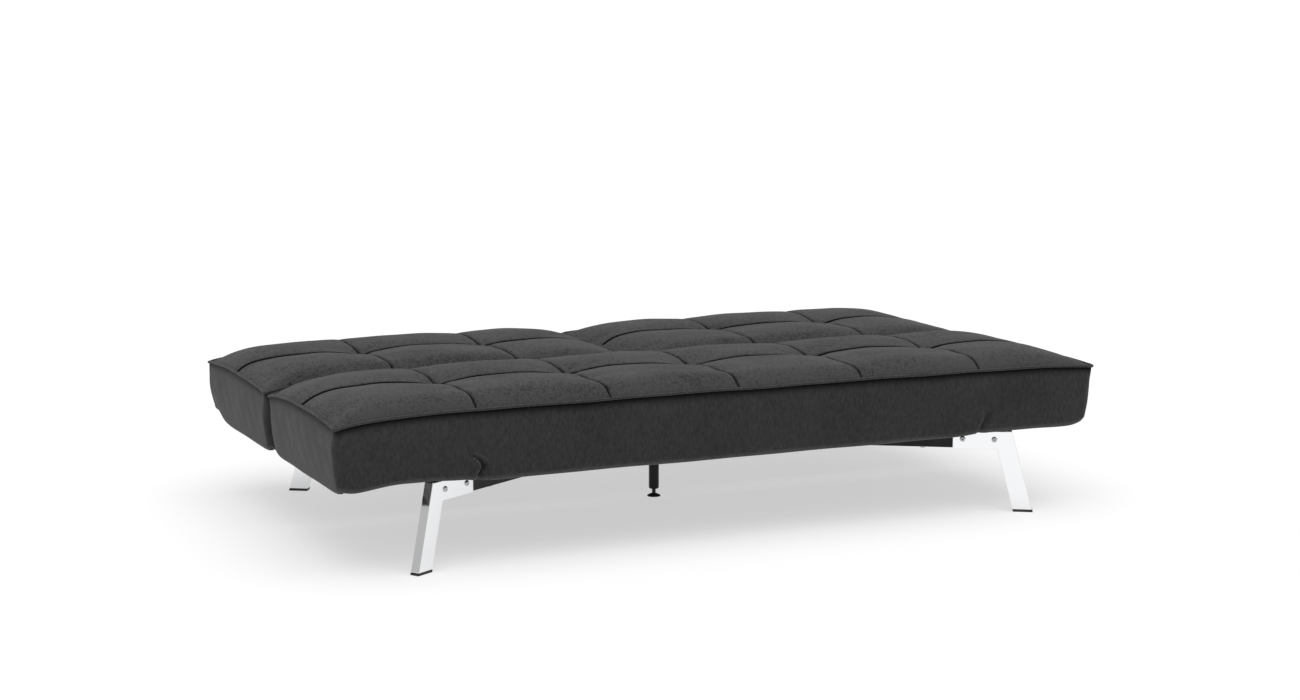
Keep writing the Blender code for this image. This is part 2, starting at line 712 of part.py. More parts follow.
def make_hinge(name, side, face_x, away, ratchet, axis, seat, back):
    """A seat plate on a seat rail, a back plate on a back rail, and the pin that joins them.

    face_x is the seat rail's face, and away is 1 where the plates stack outwards from it, else -1.
    """
    step = side * away

    def layer(start, thickness):
        return side * face_x + step * (start + thickness / 2)

    pivot = (PIVOT_Y, PIVOT_HEIGHT)
    teeth = RATCHET_THICKNESS if ratchet else 0
    back_plate_at = RATCHET_AT + teeth + LAYER_CLEARANCE
    seat_plate = piece(
        f"hinge_{name}_seat_plate",
        across_x(plate_outline(-1), PLATE_THICKNESS),
        BLACK_STEEL,
        location=(layer(SEAT_PLATE_AT, PLATE_THICKNESS), *pivot),
    )
    plate_x = layer(back_plate_at, PLATE_THICKNESS) - axis.location.x
    back_plate = piece(
        f"hinge_{name}_back_plate",
        across_x(plate_outline(1), PLATE_THICKNESS),
        BLACK_STEEL,
        axis,
        location=(plate_x, 0, 0),
    )
    if ratchet:
        overlap = 0.0005
        shift = step * (PLATE_THICKNESS + teeth - overlap) / 2
        join(seat_plate, across_x(ratchet_outline(), teeth + overlap), (shift, 0, 0))
        make_pawl(name, step, back_plate, axis, plate_x)
    bore = PIN_RADIUS + CLEARANCE
    for plate in (seat_plate, back_plate):
        cut(plate, round_bar(bore, -THROUGH, THROUGH, PIN_SIDES), rotation=(0, math.pi / 2, 0))
    make_hinge_pin(name, side * face_x, step, back_plate_at + PLATE_THICKNESS)

    reach = HINGE_GAP / 2 + PLATE_REACH + SLOT_CLEARANCE
    seat_near = face_x + away * SEAT_PLATE_AT + (away - 1) / 2 * PLATE_THICKNESS
    for part in seat:
        cut(part, plate_slot(side, seat_near, PIVOT_Y - reach, PIVOT_Y, (0, 0, 0)))
    back_near = face_x + away * back_plate_at + (away - 1) / 2 * PLATE_THICKNESS
    for part in back:
        cut(part, plate_slot(side, back_near, PIVOT_Y, PIVOT_Y + reach, axis.location))


def make_hinge_pin(name, face_x, step, end):
    """A riveted pin through both plates, with a head at each side."""
    radius, height = PIN_HEAD
    start = SEAT_PLATE_AT - CLEARANCE
    stop = end + CLEARANCE
    profile = [
        (0, stop + height),
        (0.6 * radius, stop + height),
        (radius, stop + 0.4 * height),
        (radius, stop),
        (PIN_RADIUS, stop),
        (PIN_RADIUS, start),
        (radius, start),
        (radius, start - 0.4 * height),
        (0.6 * radius, start - height),
        (0, start - height),
    ]
    turn = (0, step * math.pi / 2, 0)
    where = (face_x, PIVOT_Y, PIVOT_HEIGHT)
    turned(f"hinge_{name}_pin", profile, PIN_SIDES, ZINC_STEEL, location=where, rotation=turn)


def make_pawl(name, step, back_plate, axis, plate_x):
    """The pawl, on a stub that stands on the back plate and holds it level with the ratchet."""
    pivot = polar(PAWL_PIVOT_REACH, PAWL_PIVOT_ANGLE)
    stub = PLATE_THICKNESS / 2 + LAYER_CLEARANCE + RATCHET_THICKNESS - PAWL_SIDE_CLEARANCE
    low, high = sorted((0, -step * stub))
    join(back_plate, round_bar(PAWL_BOSS, low, high), (0, *pivot), (0, math.pi / 2, 0))
    thickness = RATCHET_THICKNESS - 2 * PAWL_SIDE_CLEARANCE
    middle = plate_x - step * (PLATE_THICKNESS / 2 + LAYER_CLEARANCE + RATCHET_THICKNESS / 2)
    finger = across_x(pawl_outline(), thickness)
    pawl = piece(f"hinge_{name}_pawl", finger, ZINC_STEEL, axis, (middle, *pivot))
    cut(pawl, round_bar(PAWL_BOSS + CLEARANCE, -THROUGH, THROUGH), rotation=(0, math.pi / 2, 0))


def make_futon():
    make_base()
    make_center_leg(make_hub())
    seat = make_seat()
    for name, side in (("left", -1), ("right", 1)):
        axis = empty(f"hinge axis {name}", (side * WIDTH / 4, PIVOT_Y, PIVOT_HEIGHT))
        back = make_back(name, side, axis)
        make_hinge(f"outer_{name}", side, OUTER_HINGE_X, -1, True, axis, seat, back)
        make_hinge(f"inner_{name}", side, INNER_HINGE_X, 1, False, axis, seat, back)


make_futon()
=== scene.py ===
"""Futon sofa bed with a split back, lying flat as a bed, on its chrome legs and X-shaped base."""

import math

import bpy
import numpy as np
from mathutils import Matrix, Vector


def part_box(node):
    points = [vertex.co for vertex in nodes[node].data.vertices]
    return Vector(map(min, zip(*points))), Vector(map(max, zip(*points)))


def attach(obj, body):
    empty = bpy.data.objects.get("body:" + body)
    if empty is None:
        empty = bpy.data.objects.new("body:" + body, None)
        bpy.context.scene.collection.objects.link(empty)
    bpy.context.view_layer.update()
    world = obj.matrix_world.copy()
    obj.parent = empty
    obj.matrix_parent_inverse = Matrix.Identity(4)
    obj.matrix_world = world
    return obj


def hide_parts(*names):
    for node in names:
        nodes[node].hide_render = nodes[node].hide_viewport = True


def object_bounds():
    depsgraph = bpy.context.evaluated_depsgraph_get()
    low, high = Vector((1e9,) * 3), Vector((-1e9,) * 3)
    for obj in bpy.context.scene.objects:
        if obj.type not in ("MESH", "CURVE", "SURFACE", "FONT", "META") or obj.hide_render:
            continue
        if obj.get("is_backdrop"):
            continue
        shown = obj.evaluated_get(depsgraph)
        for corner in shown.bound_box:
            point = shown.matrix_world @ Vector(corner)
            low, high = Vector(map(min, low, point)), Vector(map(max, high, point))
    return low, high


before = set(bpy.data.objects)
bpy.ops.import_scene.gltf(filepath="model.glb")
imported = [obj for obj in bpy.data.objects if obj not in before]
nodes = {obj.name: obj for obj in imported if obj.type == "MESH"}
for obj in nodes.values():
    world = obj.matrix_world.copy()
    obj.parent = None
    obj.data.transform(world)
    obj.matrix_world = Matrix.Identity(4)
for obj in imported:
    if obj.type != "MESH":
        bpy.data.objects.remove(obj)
cad_low, cad_high = (list(corner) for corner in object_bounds())

# ------------------------------------------------------------------------------------------
# Camera
# The bed is seen from the front and a little to its left, from about a standing child's eye
# height, with a long lens.
CAMERA_PLACE = (-2.149, -4.848, 1.148)
CAMERA_TURN = 24.03  # degrees to the right of straight back
CAMERA_TILT = 8.83  # degrees down
CAMERA_LENS = 68.3  # mm
SENSOR_WIDTH = 36  # mm
FARTHEST = 200  # metres, beyond the floor's far corners

camera = bpy.data.objects.new("camera", bpy.data.cameras.new("camera"))
bpy.context.scene.collection.objects.link(camera)
camera.location = CAMERA_PLACE
camera.rotation_euler = (math.radians(90 - CAMERA_TILT), 0, math.radians(-CAMERA_TURN))
camera.data.lens = CAMERA_LENS
camera.data.sensor_width = SENSOR_WIDTH
camera.data.clip_end = FARTHEST
bpy.context.scene.camera = camera

# ------------------------------------------------------------------------------------------
# Floor and light
# A white studio floor runs out of sight under an even white sky.  A very wide, soft key light
# comes from above, a little from the front, and a weak fill from lower down in front.
FLOOR_SIZE = 200
WIDTH = cad_high[0] - cad_low[0]
SKY = (1.0, 1.0, 1.0)
SKY_STRENGTH = 0.50
KEY_STRENGTH = 2.2
KEY_SPREAD = 75  # degrees across, as seen from the floor
KEY_TOWARD = (0.03, 0.18, -1.0)
FILL_STRENGTH = 0.10
FILL_SPREAD = 90
FILL_TOWARD = (0.3, 1.0, -0.6)
FLOOR_GLOW = 0.56  # painted light: the floor glows of its own, so shadows on it stay pale


class Socket:
    """An output of a material's node.  Arithmetic on it adds Math nodes."""

    def __init__(self, finish, output):
        self.finish = finish
        self.output = output

    def math(self, operation, *values):
        return self.finish.node("ShaderNodeMath", {"operation": operation}, dict(enumerate(values)))

    def __add__(self, other):
        return self.math("ADD", self, other)

    def __radd__(self, other):
        return self.math("ADD", other, self)

    def __sub__(self, other):
        return self.math("SUBTRACT", self, other)

    def __rsub__(self, other):
        return self.math("SUBTRACT", other, self)

    def __mul__(self, other):
        return self.math("MULTIPLY", self, other)

    def __rmul__(self, other):
        return self.math("MULTIPLY", other, self)


class Finish:
    """A material: its Principled shader, and one way of adding any node in front of it."""

    def __init__(self, name, **constants):
        self.material = bpy.data.materials.new(name)
        self.material.use_nodes = True
        self.tree = self.material.node_tree
        self.shader = self.tree.nodes["Principled BSDF"]
        for socket, value in constants.items():
            self.set(socket.replace("_", " ").title(), value)

    def set(self, socket, value):
        self.feed(self.shader.inputs[socket.replace("Ior", "IOR")], value)

    def feed(self, target, value):
        if isinstance(value, Socket):
            self.tree.links.new(value.output, target)
        elif isinstance(value, tuple) and len(value) == 3 and target.type == "RGBA":
            target.default_value = (*value, 1)
        else:
            target.default_value = value

    def node(self, kind, settings, sockets, output=0):
        node = self.tree.nodes.new(kind)
        for name, value in settings.items():
            setattr(node, name, value)
        for name, value in sockets.items():
            self.feed(node.inputs[name], value)
        return Socket(self, node.outputs[output])

    def place(self, scale=(1, 1, 1), turn=(0, 0, 0)):
        """Object coordinates, in metres, stretched and turned."""
        here = self.node("ShaderNodeTexCoord", {}, {}, "Object")
        sockets = {"Vector": here, "Scale": scale, "Rotation": turn}
        return self.node("ShaderNodeMapping", {}, sockets)

    def noise(self, scale, detail=3.0, vector=None):
        """Soft noise from 0 to 1, about a half, that repeats scale times in a metre."""
        sockets = {"Vector": vector or self.place(), "Scale": scale, "Detail": detail}
        return self.node("ShaderNodeTexNoise", {}, sockets, "Fac")

    def mix(self, share, low, high):
        """One colour turning into another as the share goes from 0 to 1."""
        settings = {"data_type": "RGBA", "clamp_factor": True}
        return self.node("ShaderNodeMix", settings, {0: share, 6: low, 7: high}, 2)

    def stretch(self, value, low, high, start=0.0, end=1.0):
        """The value's run from low to high stretched to run from start to end, and held there."""
        sockets = {0: value, 1: low, 2: high, 3: start, 4: end}
        return self.node("ShaderNodeMapRange", {}, sockets)

    def paint_shade(self, share):
        """Paints shade: turns the finish into a matt near-black as the share goes from 0 to 1,
        where a groove lies in shadow.
        """
        sockets = {"Base Color": (0.002, 0.002, 0.002), "Roughness": 0.9, "Specular IOR Level": 0.0}
        painted_shade = self.node("ShaderNodeBsdfPrincipled", {}, sockets)
        own = Socket(self, self.shader.outputs[0])
        both = self.node("ShaderNodeMixShader", {}, {0: share, 1: own, 2: painted_shade})
        self.feed(self.tree.nodes["Material Output"].inputs["Surface"], both)

    def bump(self, height, distance, strength=1.0):
        sockets = {"Height": height, "Distance": distance, "Strength": strength}
        self.set("Normal", self.node("ShaderNodeBump", {}, sockets))


floor_finish = Finish("studio_floor", roughness=0.9, specular_ior_level=0.1)
dust_film = floor_finish.noise(0.7)
floor_finish.set("Base Color", floor_finish.mix(dust_film, (0.38, 0.38, 0.38), (0.40, 0.40, 0.40)))
# Painted light: the floor glows evenly white, which keeps the shadows on it pale.
floor_finish.set("Emission Color", (1.0, 1.0, 1.0))
floor_finish.set("Emission Strength", FLOOR_GLOW)

half = FLOOR_SIZE / 2
floor_mesh = bpy.data.meshes.new("floor")
floor_corners = [(-half, -half, 0), (half, -half, 0), (half, half, 0), (-half, half, 0)]
floor_mesh.from_pydata(floor_corners, [], [(0, 1, 2, 3)])
floor_mesh.materials.append(floor_finish.material)
floor = bpy.data.objects.new("floor", floor_mesh)
bpy.context.scene.collection.objects.link(floor)
floor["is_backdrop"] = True

world = bpy.data.worlds.new("studio")
world.use_nodes = True
world.node_tree.nodes["Background"].inputs["Color"].default_value = (*SKY, 1)
world.node_tree.nodes["Background"].inputs["Strength"].default_value = SKY_STRENGTH
bpy.context.scene.world = world
bpy.context.scene.view_settings.view_transform = "Standard"


def add_sun(name, strength, spread, toward):
    """A distant light whose rays run along the direction given, spread over so many degrees."""
    light = bpy.data.lights.new(name, "SUN")
    light.energy = strength
    light.angle = math.radians(spread)
    lamp = bpy.data.objects.new(name, light)
    across, along, down = toward
    lean = math.atan2(math.hypot(across, along), -down)
    lamp.rotation_euler = (lean, 0, math.atan2(across, -along) + math.pi)
    bpy.context.scene.collection.objects.link(lamp)


add_sun("key", KEY_STRENGTH, KEY_SPREAD, KEY_TOWARD)
add_sun("fill", FILL_STRENGTH, FILL_SPREAD, FILL_TOWARD)

# ------------------------------------------------------------------------------------------
# Legs
# Four legs welded from flat-sided steel tube and chrome plated.  Each leans in towards the
# middle, and its top arm sleeves over the end of a base tube and is bolted to it.
CORNERS = ("front_left", "front_right", "rear_left", "rear_right")
BASE = "base_and_seat"

chrome = Finish("chrome_plate", metallic=1.0)
smear = chrome.noise(9, 4)
chrome.set("Base Color", chrome.mix(smear, (0.86, 0.87, 0.88), (0.93, 0.93, 0.94)))
chrome.set("Roughness", chrome.stretch(smear + 0.4 * chrome.noise(220, 2), 0.45, 1.0, 0.05, 0.15))
chrome.bump(chrome.noise(35, 2), 0.0006, 0.12)


def give(finish, *names):
    """Gives CAD nodes their finish."""
    for name in names:
        for place in nodes[name].material_slots:
            place.material = finish.material


give(chrome, *(f"leg_{corner}" for corner in CORNERS))

# ------------------------------------------------------------------------------------------
# Feet
# Black moulded plugs pushed up into the legs, with a thin sole that the bed slides on.  The
# soles are scuffed paler where they meet the floor.
plastic = Finish("black_plastic", specular_ior_level=0.35)
grit = plastic.noise(900, 2)
worn = plastic.stretch(plastic.noise(60, 4), 0.5, 0.8)
plastic.set("Base Color", plastic.mix(worn, (0.018, 0.018, 0.019), (0.045, 0.044, 0.042)))
plastic.set("Roughness", plastic.stretch(grit, 0.3, 0.7, 0.48, 0.66))
plastic.bump(grit, 0.0002, 0.5)
give(plastic, *(f"leg_foot_{corner}" for corner in CORNERS), "center_leveller")

# ------------------------------------------------------------------------------------------
# Base
# Four flat-sided steel tubes run from the legs to a plate in the middle, where they are welded,
# and a round centre leg stands in the plate's collar.  All of it is black powder coat.
powder = Finish("black_powder_coat", specular_ior_level=0.25)
peel = powder.noise(520, 2)
rubbed = powder.stretch(powder.noise(14, 5), 0.58, 0.80)
powder.set("Base Color", powder.mix(rubbed, (0.006, 0.006, 0.0065), (0.016, 0.016, 0.017)))
powder.set("Roughness", powder.stretch(powder.noise(40, 3), 0.3, 0.7, 0.34, 0.52))
powder.bump(peel, 0.0003, 0.45)
give(powder, *(f"base_tube_{corner}" for corner in CORNERS), "base_hub_plate", "center_leg")

WELD_RADIUS = 0.0022
WELD_LENGTH = 0.026
WELD_RIPPLE = 0.0016  # from one ripple of the bead to the next
WELD_SWELL = 0.16  # how much of the radius a ripple adds and takes
WELD_RINGS = 41
WELD_START = 0.034  # from the plate's middle to a bead's inner end
TUBE_HALF = 0.0077  # half of a base tube's thickness


def middle(name):
    low, high = (np.array(corner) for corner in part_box(name))
    return (low + high) / 2


def grid_faces(rows, columns, start=0, around=False):
    """Four-sided faces over a grid of vertices, which may close on itself along its rows."""
    steps = columns if around else columns - 1
    row, column = np.meshgrid(np.arange(rows - 1), np.arange(steps), indexing="ij")
    after = (column + 1) % columns
    corners = (row * columns + column, row * columns + after,
               (row + 1) * columns + after, (row + 1) * columns + column)
    return start + np.stack(corners, -1).reshape(-1, 4)


def add_piece(name, points, faces, finish, body, slot):
    """A smooth mesh in its place, with its finish, riding on its body."""
    mesh = bpy.data.meshes.new(name)
    mesh.from_pydata(np.asarray(points, float).reshape(-1, 3), [], faces)
    mesh.shade_smooth()
    mesh.materials.append(finish.material)
    piece = bpy.data.objects.new(name, mesh)
    bpy.context.scene.collection.objects.link(piece)
    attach(piece, body)
    return piece


def tube_along(path, radius, sides=10, closed=True):
    """Rings of a tube round a path that lies nearly level: each ring stands across the path.

    A point is the path's, plus the radius times the cosine of its angle sideways and times the
    sine upwards.  Returns the points and faces.
    """
    if closed:
        ahead = np.roll(path, -1, 0) - np.roll(path, 1, 0)
    else:
        ahead = np.gradient(path, axis=0)
    ahead = ahead / np.linalg.norm(ahead, axis=1, keepdims=True)
    side = np.cross(ahead, (0, 0, 1))
    side /= np.linalg.norm(side, axis=1, keepdims=True)
    up = np.cross(side, ahead)
    angle = np.linspace(0, 2 * np.pi, sides, endpoint=False)
    radius = np.broadcast_to(radius, len(path))[:, None, None]
    points = path[:, None] + radius * (
        np.cos(angle)[None, :, None] * side[:, None] + np.sin(angle)[None, :, None] * up[:, None]
    )
    faces = grid_faces(len(path), sides, around=True)
    if closed:
        last = grid_faces(2, sides, around=True)
        seam = np.where(last < sides, last + (len(path) - 1) * sides, last - sides)
        faces = np.vstack([faces, seam])
    return points, faces


def joined(shapes):
    """Several shapes' points and faces as one."""
    points = []
    faces = []
    for shape_points, shape_faces in shapes:
        faces.append(np.asarray(shape_faces) + sum(len(p) for p in points))
        points.append(np.asarray(shape_points).reshape(-1, 3))
    return np.vstack(points), np.vstack(faces)


def weld_bead(start, end):
    """A bead between two points: a tube that swells at each ripple and tapers at its ends."""
    share = np.linspace(0, 1, WELD_RINGS)
    path = start + (end - start) * share[:, None]
    ripples = np.linalg.norm(end - start) / WELD_RIPPLE
    swell = 1 + WELD_SWELL * np.sin(2 * np.pi * share * ripples)
    taper = np.sqrt(np.clip(1 - (2 * share - 1) ** 6, 0.001, 1))
    return tube_along(path, WELD_RADIUS * swell * taper, closed=False)


hub = middle("base_hub_plate")
plate_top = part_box("base_hub_plate")[1][2]
arm_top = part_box("leg_front_left")[1][2]
arms = {}
for corner in CORNERS:
    out = middle(f"leg_{corner}")[:2] - hub[:2]
    arms[corner] = np.array([*(out / np.linalg.norm(out)), 0.0])

beads = []
for out in arms.values():
    across = np.array([-out[1], out[0], 0.0])
    for side in (-1, 1):
        foot = np.array([hub[0], hub[1], plate_top + WELD_RADIUS / 4])
        start = foot + out * WELD_START + side * across * (TUBE_HALF + WELD_RADIUS / 2)
        beads.append(weld_bead(start, start + out * WELD_LENGTH))
add_piece("base_welds", *joined(beads), powder, BASE, "black_steel")

# ------------------------------------------------------------------------------------------
# Bolts
# Zinc-plated button-head bolts with a hexagon socket go through each leg's arm and the tube
# inside it, with a washer and nut on the far side.  Two long bolts hold the seat on the tubes.
HEAD_RADIUS = 0.0052
HEAD_HEIGHT = 0.0032
SOCKET_RADIUS = 0.0022  # to the flats
SOCKET_DEPTH = 0.0022
SOCKET_MOUTH = SOCKET_RADIUS * 1.25
NUT_RADIUS = 0.0050
NUT_HEIGHT = 0.0034
WASHER = (0.0060, 0.0007)  # radius and thickness
WASHER_HOLE = 0.003
BOLT_TIP = 0.0018  # how far the bolt's end stands out of its nut
UNDERSIDE = 0.002  # inner radius of the hidden undersides of head and nut
CLOSED = 0.00001  # radius of the ring that closes a turned form
TUBE_FACE = 0.0102  # from a leg's middle plane to just clear of its face

zinc = Finish("zinc_plate", metallic=1.0)
dulled = zinc.noise(240, 4)
zinc.set("Base Color", zinc.mix(dulled, (0.42, 0.43, 0.45), (0.66, 0.67, 0.69)))
zinc.set("Roughness", zinc.stretch(dulled, 0.3, 0.7, 0.24, 0.44))
zinc.bump(zinc.noise(900, 2), 0.0001, 0.3)


def turned(radius, height, flats, origin, axis, sides=48):
    """A turned form: at each step of its profile a ring, drawn in to flats where it is six-sided.

    A six-sided ring's radius is the distance to its flats over the cosine of the angle from the
    middle of the nearest flat.
    """
    axis = np.array(axis) / np.linalg.norm(axis)
    side = np.cross(axis, (0, 0, 1)) if abs(axis[2]) < 0.9 else np.array([1.0, 0, 0])
    side = side / np.linalg.norm(side)
    other = np.cross(axis, side)
    angle = np.linspace(0, 2 * np.pi, sides, endpoint=False)
    from_flat = (angle + np.pi / 6) % (np.pi / 3) - np.pi / 6
    reach = np.where(np.array(flats)[:, None], 1 / np.cos(from_flat)[None, :], 1.0)
    reach = reach * np.array(radius)[:, None]
    points = (
        np.array(origin)
        + np.array(height)[:, None, None] * axis
        + reach[..., None] * (np.cos(angle)[:, None] * side + np.sin(angle)[:, None] * other)
    )
    return points, grid_faces(len(radius), sides, around=True)


def bolt_shapes(place, axis):
    """Button head, nut and washers of a bolt through a leg's arm, its head towards the axis."""
    bend = np.linspace(0, np.pi / 2, 7)
    dome_radius = SOCKET_MOUTH + (HEAD_RADIUS - SOCKET_MOUTH) * np.cos(bend)
    dome_height = WASHER[1] + HEAD_HEIGHT * (0.25 + 0.75 * np.sin(bend))
    radius = [UNDERSIDE, HEAD_RADIUS, *dome_radius, SOCKET_RADIUS, SOCKET_RADIUS, CLOSED]
    top = WASHER[1] + HEAD_HEIGHT
    floor_of_socket = top - SOCKET_DEPTH
    height = [WASHER[1], WASHER[1], *dome_height, top - 0.0001, floor_of_socket, floor_of_socket]
    flats = [False] * (2 + len(bend)) + [True] * 3
    face = np.array(place) + np.array(axis) * TUBE_FACE
    head = turned(radius, height, flats, face, axis)
    washer_radius = [WASHER_HOLE, WASHER[0], WASHER[0], WASHER_HOLE]
    washer_height = [0, 0, WASHER[1], WASHER[1]]
    washer = turned(washer_radius, washer_height, [False] * 4, face, axis)
    back = np.array(place) - np.array(axis) * TUBE_FACE
    far = -np.array(axis)
    far_washer = turned(washer_radius, washer_height, [False] * 4, back, far)
    thread_end = (0.0031, 0.0029, 0.0025)
    nut_radius = [UNDERSIDE, NUT_RADIUS, NUT_RADIUS, NUT_RADIUS * 0.9, *thread_end, CLOSED]
    tip = NUT_HEIGHT + BOLT_TIP
    nut_height = [0, 0, NUT_HEIGHT * 0.85, NUT_HEIGHT, NUT_HEIGHT, tip - 0.0006, tip, tip]
    nut_flats = [False, True, True, False, False, False, False, False]
    nut = turned(nut_radius, np.array(nut_height) + WASHER[1], nut_flats, back, far)
    return [head, washer, far_washer, nut]


for corner in CORNERS:
    out = arms[corner]
    across = np.array([-out[1], out[0], 0.0])
    if across[1] * out[1] < 0:
        across = -across
    for which in ("outer", "inner"):
        name = f"leg_bolt_{which}_{corner}"
        shape = joined(bolt_shapes(middle(name), across))
        bolt = add_piece(f"{name}_detail", *shape, zinc, BASE, "zinc_steel")
        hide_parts(name)
give(zinc, "seat_bolt_left", "seat_bolt_right")

# ------------------------------------------------------------------------------------------
# Frames
# Planed pine rails under birch plywood decks, glued and stapled.  They are closed in by the
# covers, and show only where a cover is lifted.
timber = Finish("planed_pine", roughness=0.62, specular_ior_level=0.3)
grain = timber.noise(1, 6, timber.place((4, 60, 60)))
rings = timber.node("ShaderNodeMath", {"operation": "PINGPONG"}, {0: grain * 9, 1: 1.0})
timber.set("Base Color", timber.mix(rings, (0.56, 0.38, 0.20), (0.74, 0.56, 0.34)))
timber.bump(rings, 0.0004, 0.3)

plywood = Finish("birch_plywood", roughness=0.6, specular_ior_level=0.3)
face_grain = plywood.noise(1, 6, plywood.place((3, 40, 3)))
veneers = plywood.node("ShaderNodeMath", {"operation": "PINGPONG"},
                       {0: plywood.noise(1, 1, plywood.place((2, 2, 900))) * 4, 1: 1.0})
layers = face_grain * 0.7 + veneers * 0.3
plywood.set("Base Color", plywood.mix(layers, (0.58, 0.42, 0.26), (0.80, 0.66, 0.46)))
plywood.bump(face_grain, 0.0003, 0.25)

give(timber, *(name for name in nodes if "_rail_" in name))
give(plywood, *(name for name in nodes if name.endswith("_deck")))

# ------------------------------------------------------------------------------------------
# Hinges
# Flat steel plates bolted to the rails, a seat plate and a back plate at each end of each back
# half, on a riveted pin.  The outer ones have saw teeth and a pawl that holds the back raised.
blackened = Finish("blackened_steel", metallic=1.0)
oil = blackened.noise(70, 4)
blackened.set("Base Color", blackened.mix(oil, (0.030, 0.030, 0.032), (0.075, 0.074, 0.072)))
blackened.set("Roughness", blackened.stretch(oil, 0.3, 0.7, 0.38, 0.58))
blackened.bump(blackened.noise(800, 2), 0.0001, 0.3)

for name in nodes:
    if name.startswith("hinge_"):
        give(powder if name.endswith("_plate") else blackened, name)

# ------------------------------------------------------------------------------------------
# Cushions
# Each block is foam under a quilted top panel, with a boxed band sewn round it and turned in
# under the frame.  The quilting sinks two rows of large squares, deepest where its lines cross,
# and the corners of the top hang lower than its middle.
BLOCKS = {  # name: its body, columns of squares, and how far its top lies below the seat's
    "seat": (BASE, 6, 0.0),
    "back_left": ("back_left", 3, 0.010),
    "back_right": ("back_right", 3, 0.010),
}
# How much lower the hem hangs at a block's left end and at its right end.
HEM_ENDS = {"seat": (0.010, -0.006), "back_left": (0.013, 0.0), "back_right": (0.0, -0.006)}
PIPING_BELOW_CROWN = 0.021  # from the CAD crown down to the piping, at the middle of a side
SEAM_RISE = 0.0215  # from the piping up to a quilting line, well away from the edge
# How far in from the left, right, front and rear the top has made most of its rise.
RISE_LENGTHS = (0.024, 0.050, 0.011, 0.034)
DOME = 0.009  # from the quilting lines up to the middle of a square
CROSSING_DIP = 0.0145
CROSSING_REACH = 0.034
CROSSING_BLUNT = 0.005  # how round the bottom of a dip is
PLEATS = 9  # round each crossing
PLEAT_DEPTH = 0.0011
PLEAT_PLACE = 0.026  # from a crossing to where its pleats are deepest
PLEAT_LENGTH = 0.016
PLEAT_TURN = 20  # radians in a metre along X, so that crossings differ
LEFT_DROOP = (0.010, 0.011)  # how far the top's edge hangs lower at an end, and at its corners
DROOP = (0.004, 0.005)  # the same for every other end: the left one sags most
DROOP_REACH = (0.11, 0.065)  # how far in from an end, and from a corner
SEAT_GAP_SAG = 0.009  # how much lower the seat's left corner beside the gap hangs
BACK_GAP_SAG = -0.004
GAP_SAG_REACH = 0.080
WANDER = 0.0012  # how unevenly the edge and the top lie
TOP_CORNER = 0.009  # radius of the top panel's corners, seen from above
LOW_CORNER = 0.019  # and of the band's, below them
PAINTED_SHADE_UNDER_PIPING = (0.9, 0.85, 0.6, 0.3, 0.1)  # how dark the painted shade is on each row of the band under the piping
END_SHADE = 0.4  # how much of that painted shade a block's two ends have
EAR = 0.0025  # how far a corner's piping stands out
EAR_REACH = 0.017
BAND_BULGE = 0.005
BULGE_SKEW = 0.9  # below 1, the band bulges most above its middle
BAND_RIPPLE = 0.0006
BAND_TAPER = 0.003
END_TAPER = 0.004
END_SPAN = 0.05
FACE_ROWS = 29
TURN_ROWS = 5
HEM_ROWS = 3
HEM_ROLL = 0.014
HEM_CLEAR = 0.0008  # the hem lies this far above a leg's arm
HEM_BOTTOM = 0.1690
CORNER_LIFT = 0.009  # how much higher the hem is at a block's corners
CORNER_REACH = 0.026
HEM_END_REACH = 0.17  # how far in from an end the hem hangs lower or is drawn higher there
HEM_WIDTH = 0.018
HEM_HEIGHT = 0.1752
HEM_WANDER = 0.0010
ARM_HALF = 0.014  # half the width over which a leg's arm lifts the hem fully
ARM_FADE = 0.038
GRID_STEP = 0.0046
CLOTH_STEP = 0.010
CLOTH_CAP = 0.0035  # the cloth moves no further than this
CLOTH_FRAMES = 20
LINE_HOLD = 0.35  # how firmly the quilting lines are held
CLOTH_SETTINGS = {
    "quality": 5, "mass": 0.25, "tension_stiffness": 12, "compression_stiffness": 12,
    "shear_stiffness": 6, "bending_stiffness": 0.6, "air_damping": 2, "vertex_group_mass": "held",
    "pin_stiffness": 1.5, "shrink_min": 0.0, "use_pressure": True, "uniform_pressure_force": 4,
}
SEAM_DEPTH = 0.0060
SEAM_WIDTH = 0.0022
SEAM_FADE = 0.012  # the seams deepen over this distance in from the edge
SEAM_SHADE_WIDTH = 0.0024  # half the width of the painted shade along a seam that runs front to back
LONG_SEAM_SHADE_WIDTH = 0.0055  # and along the seam that runs from end to end, which gapes more
LONG_SEAM_SHADE_SHIFT = 0.0034  # how far behind the seam the middle of its painted shade is
LONG_SEAM_DEPTH = 0.0080


def lines_between(start, stop, count, step):
    """Grid lines from start to stop: even between the quilting lines, and close beside them."""
    seams = np.linspace(start, stop, count + 1)
    near = np.array([0.0013, 0.0028, 0.0052])
    lines = [seams[:1]]
    for low, high in zip(seams, seams[1:]):
        steps = int(round((high - low - 2 * near[-1]) / step))
        between = np.linspace(low + near[-1], high - near[-1], steps + 1)
        lines += [low + near[:-1], between, high - near[-2::-1], [high]]
    return np.concatenate(lines)


def even_lines(start, stop, step):
    return np.linspace(start, stop, int(round((stop - start) / step)) + 1)


def soft_noise(x, y, z=0.0, size=0.12, seed=0.0):
    """A smooth wandering value of about -1 to 1: a sum of sines at unrelated lengths and angles."""
    a = 2 * np.pi / size
    return (
        np.sin(a * (0.83 * x + 0.41 * y + 0.37 * z) + 1.3 + seed)
        + np.sin(a * (-0.57 * x + 1.13 * y + 0.61 * z) + 4.1 + 2 * seed)
        + np.sin(a * (1.61 * x - 0.77 * y + 1.27 * z) + 2.2 + 3 * seed)
        + np.sin(a * (0.29 * x + 1.93 * y - 0.89 * z) + 0.4 + 5 * seed)
    ) / 3


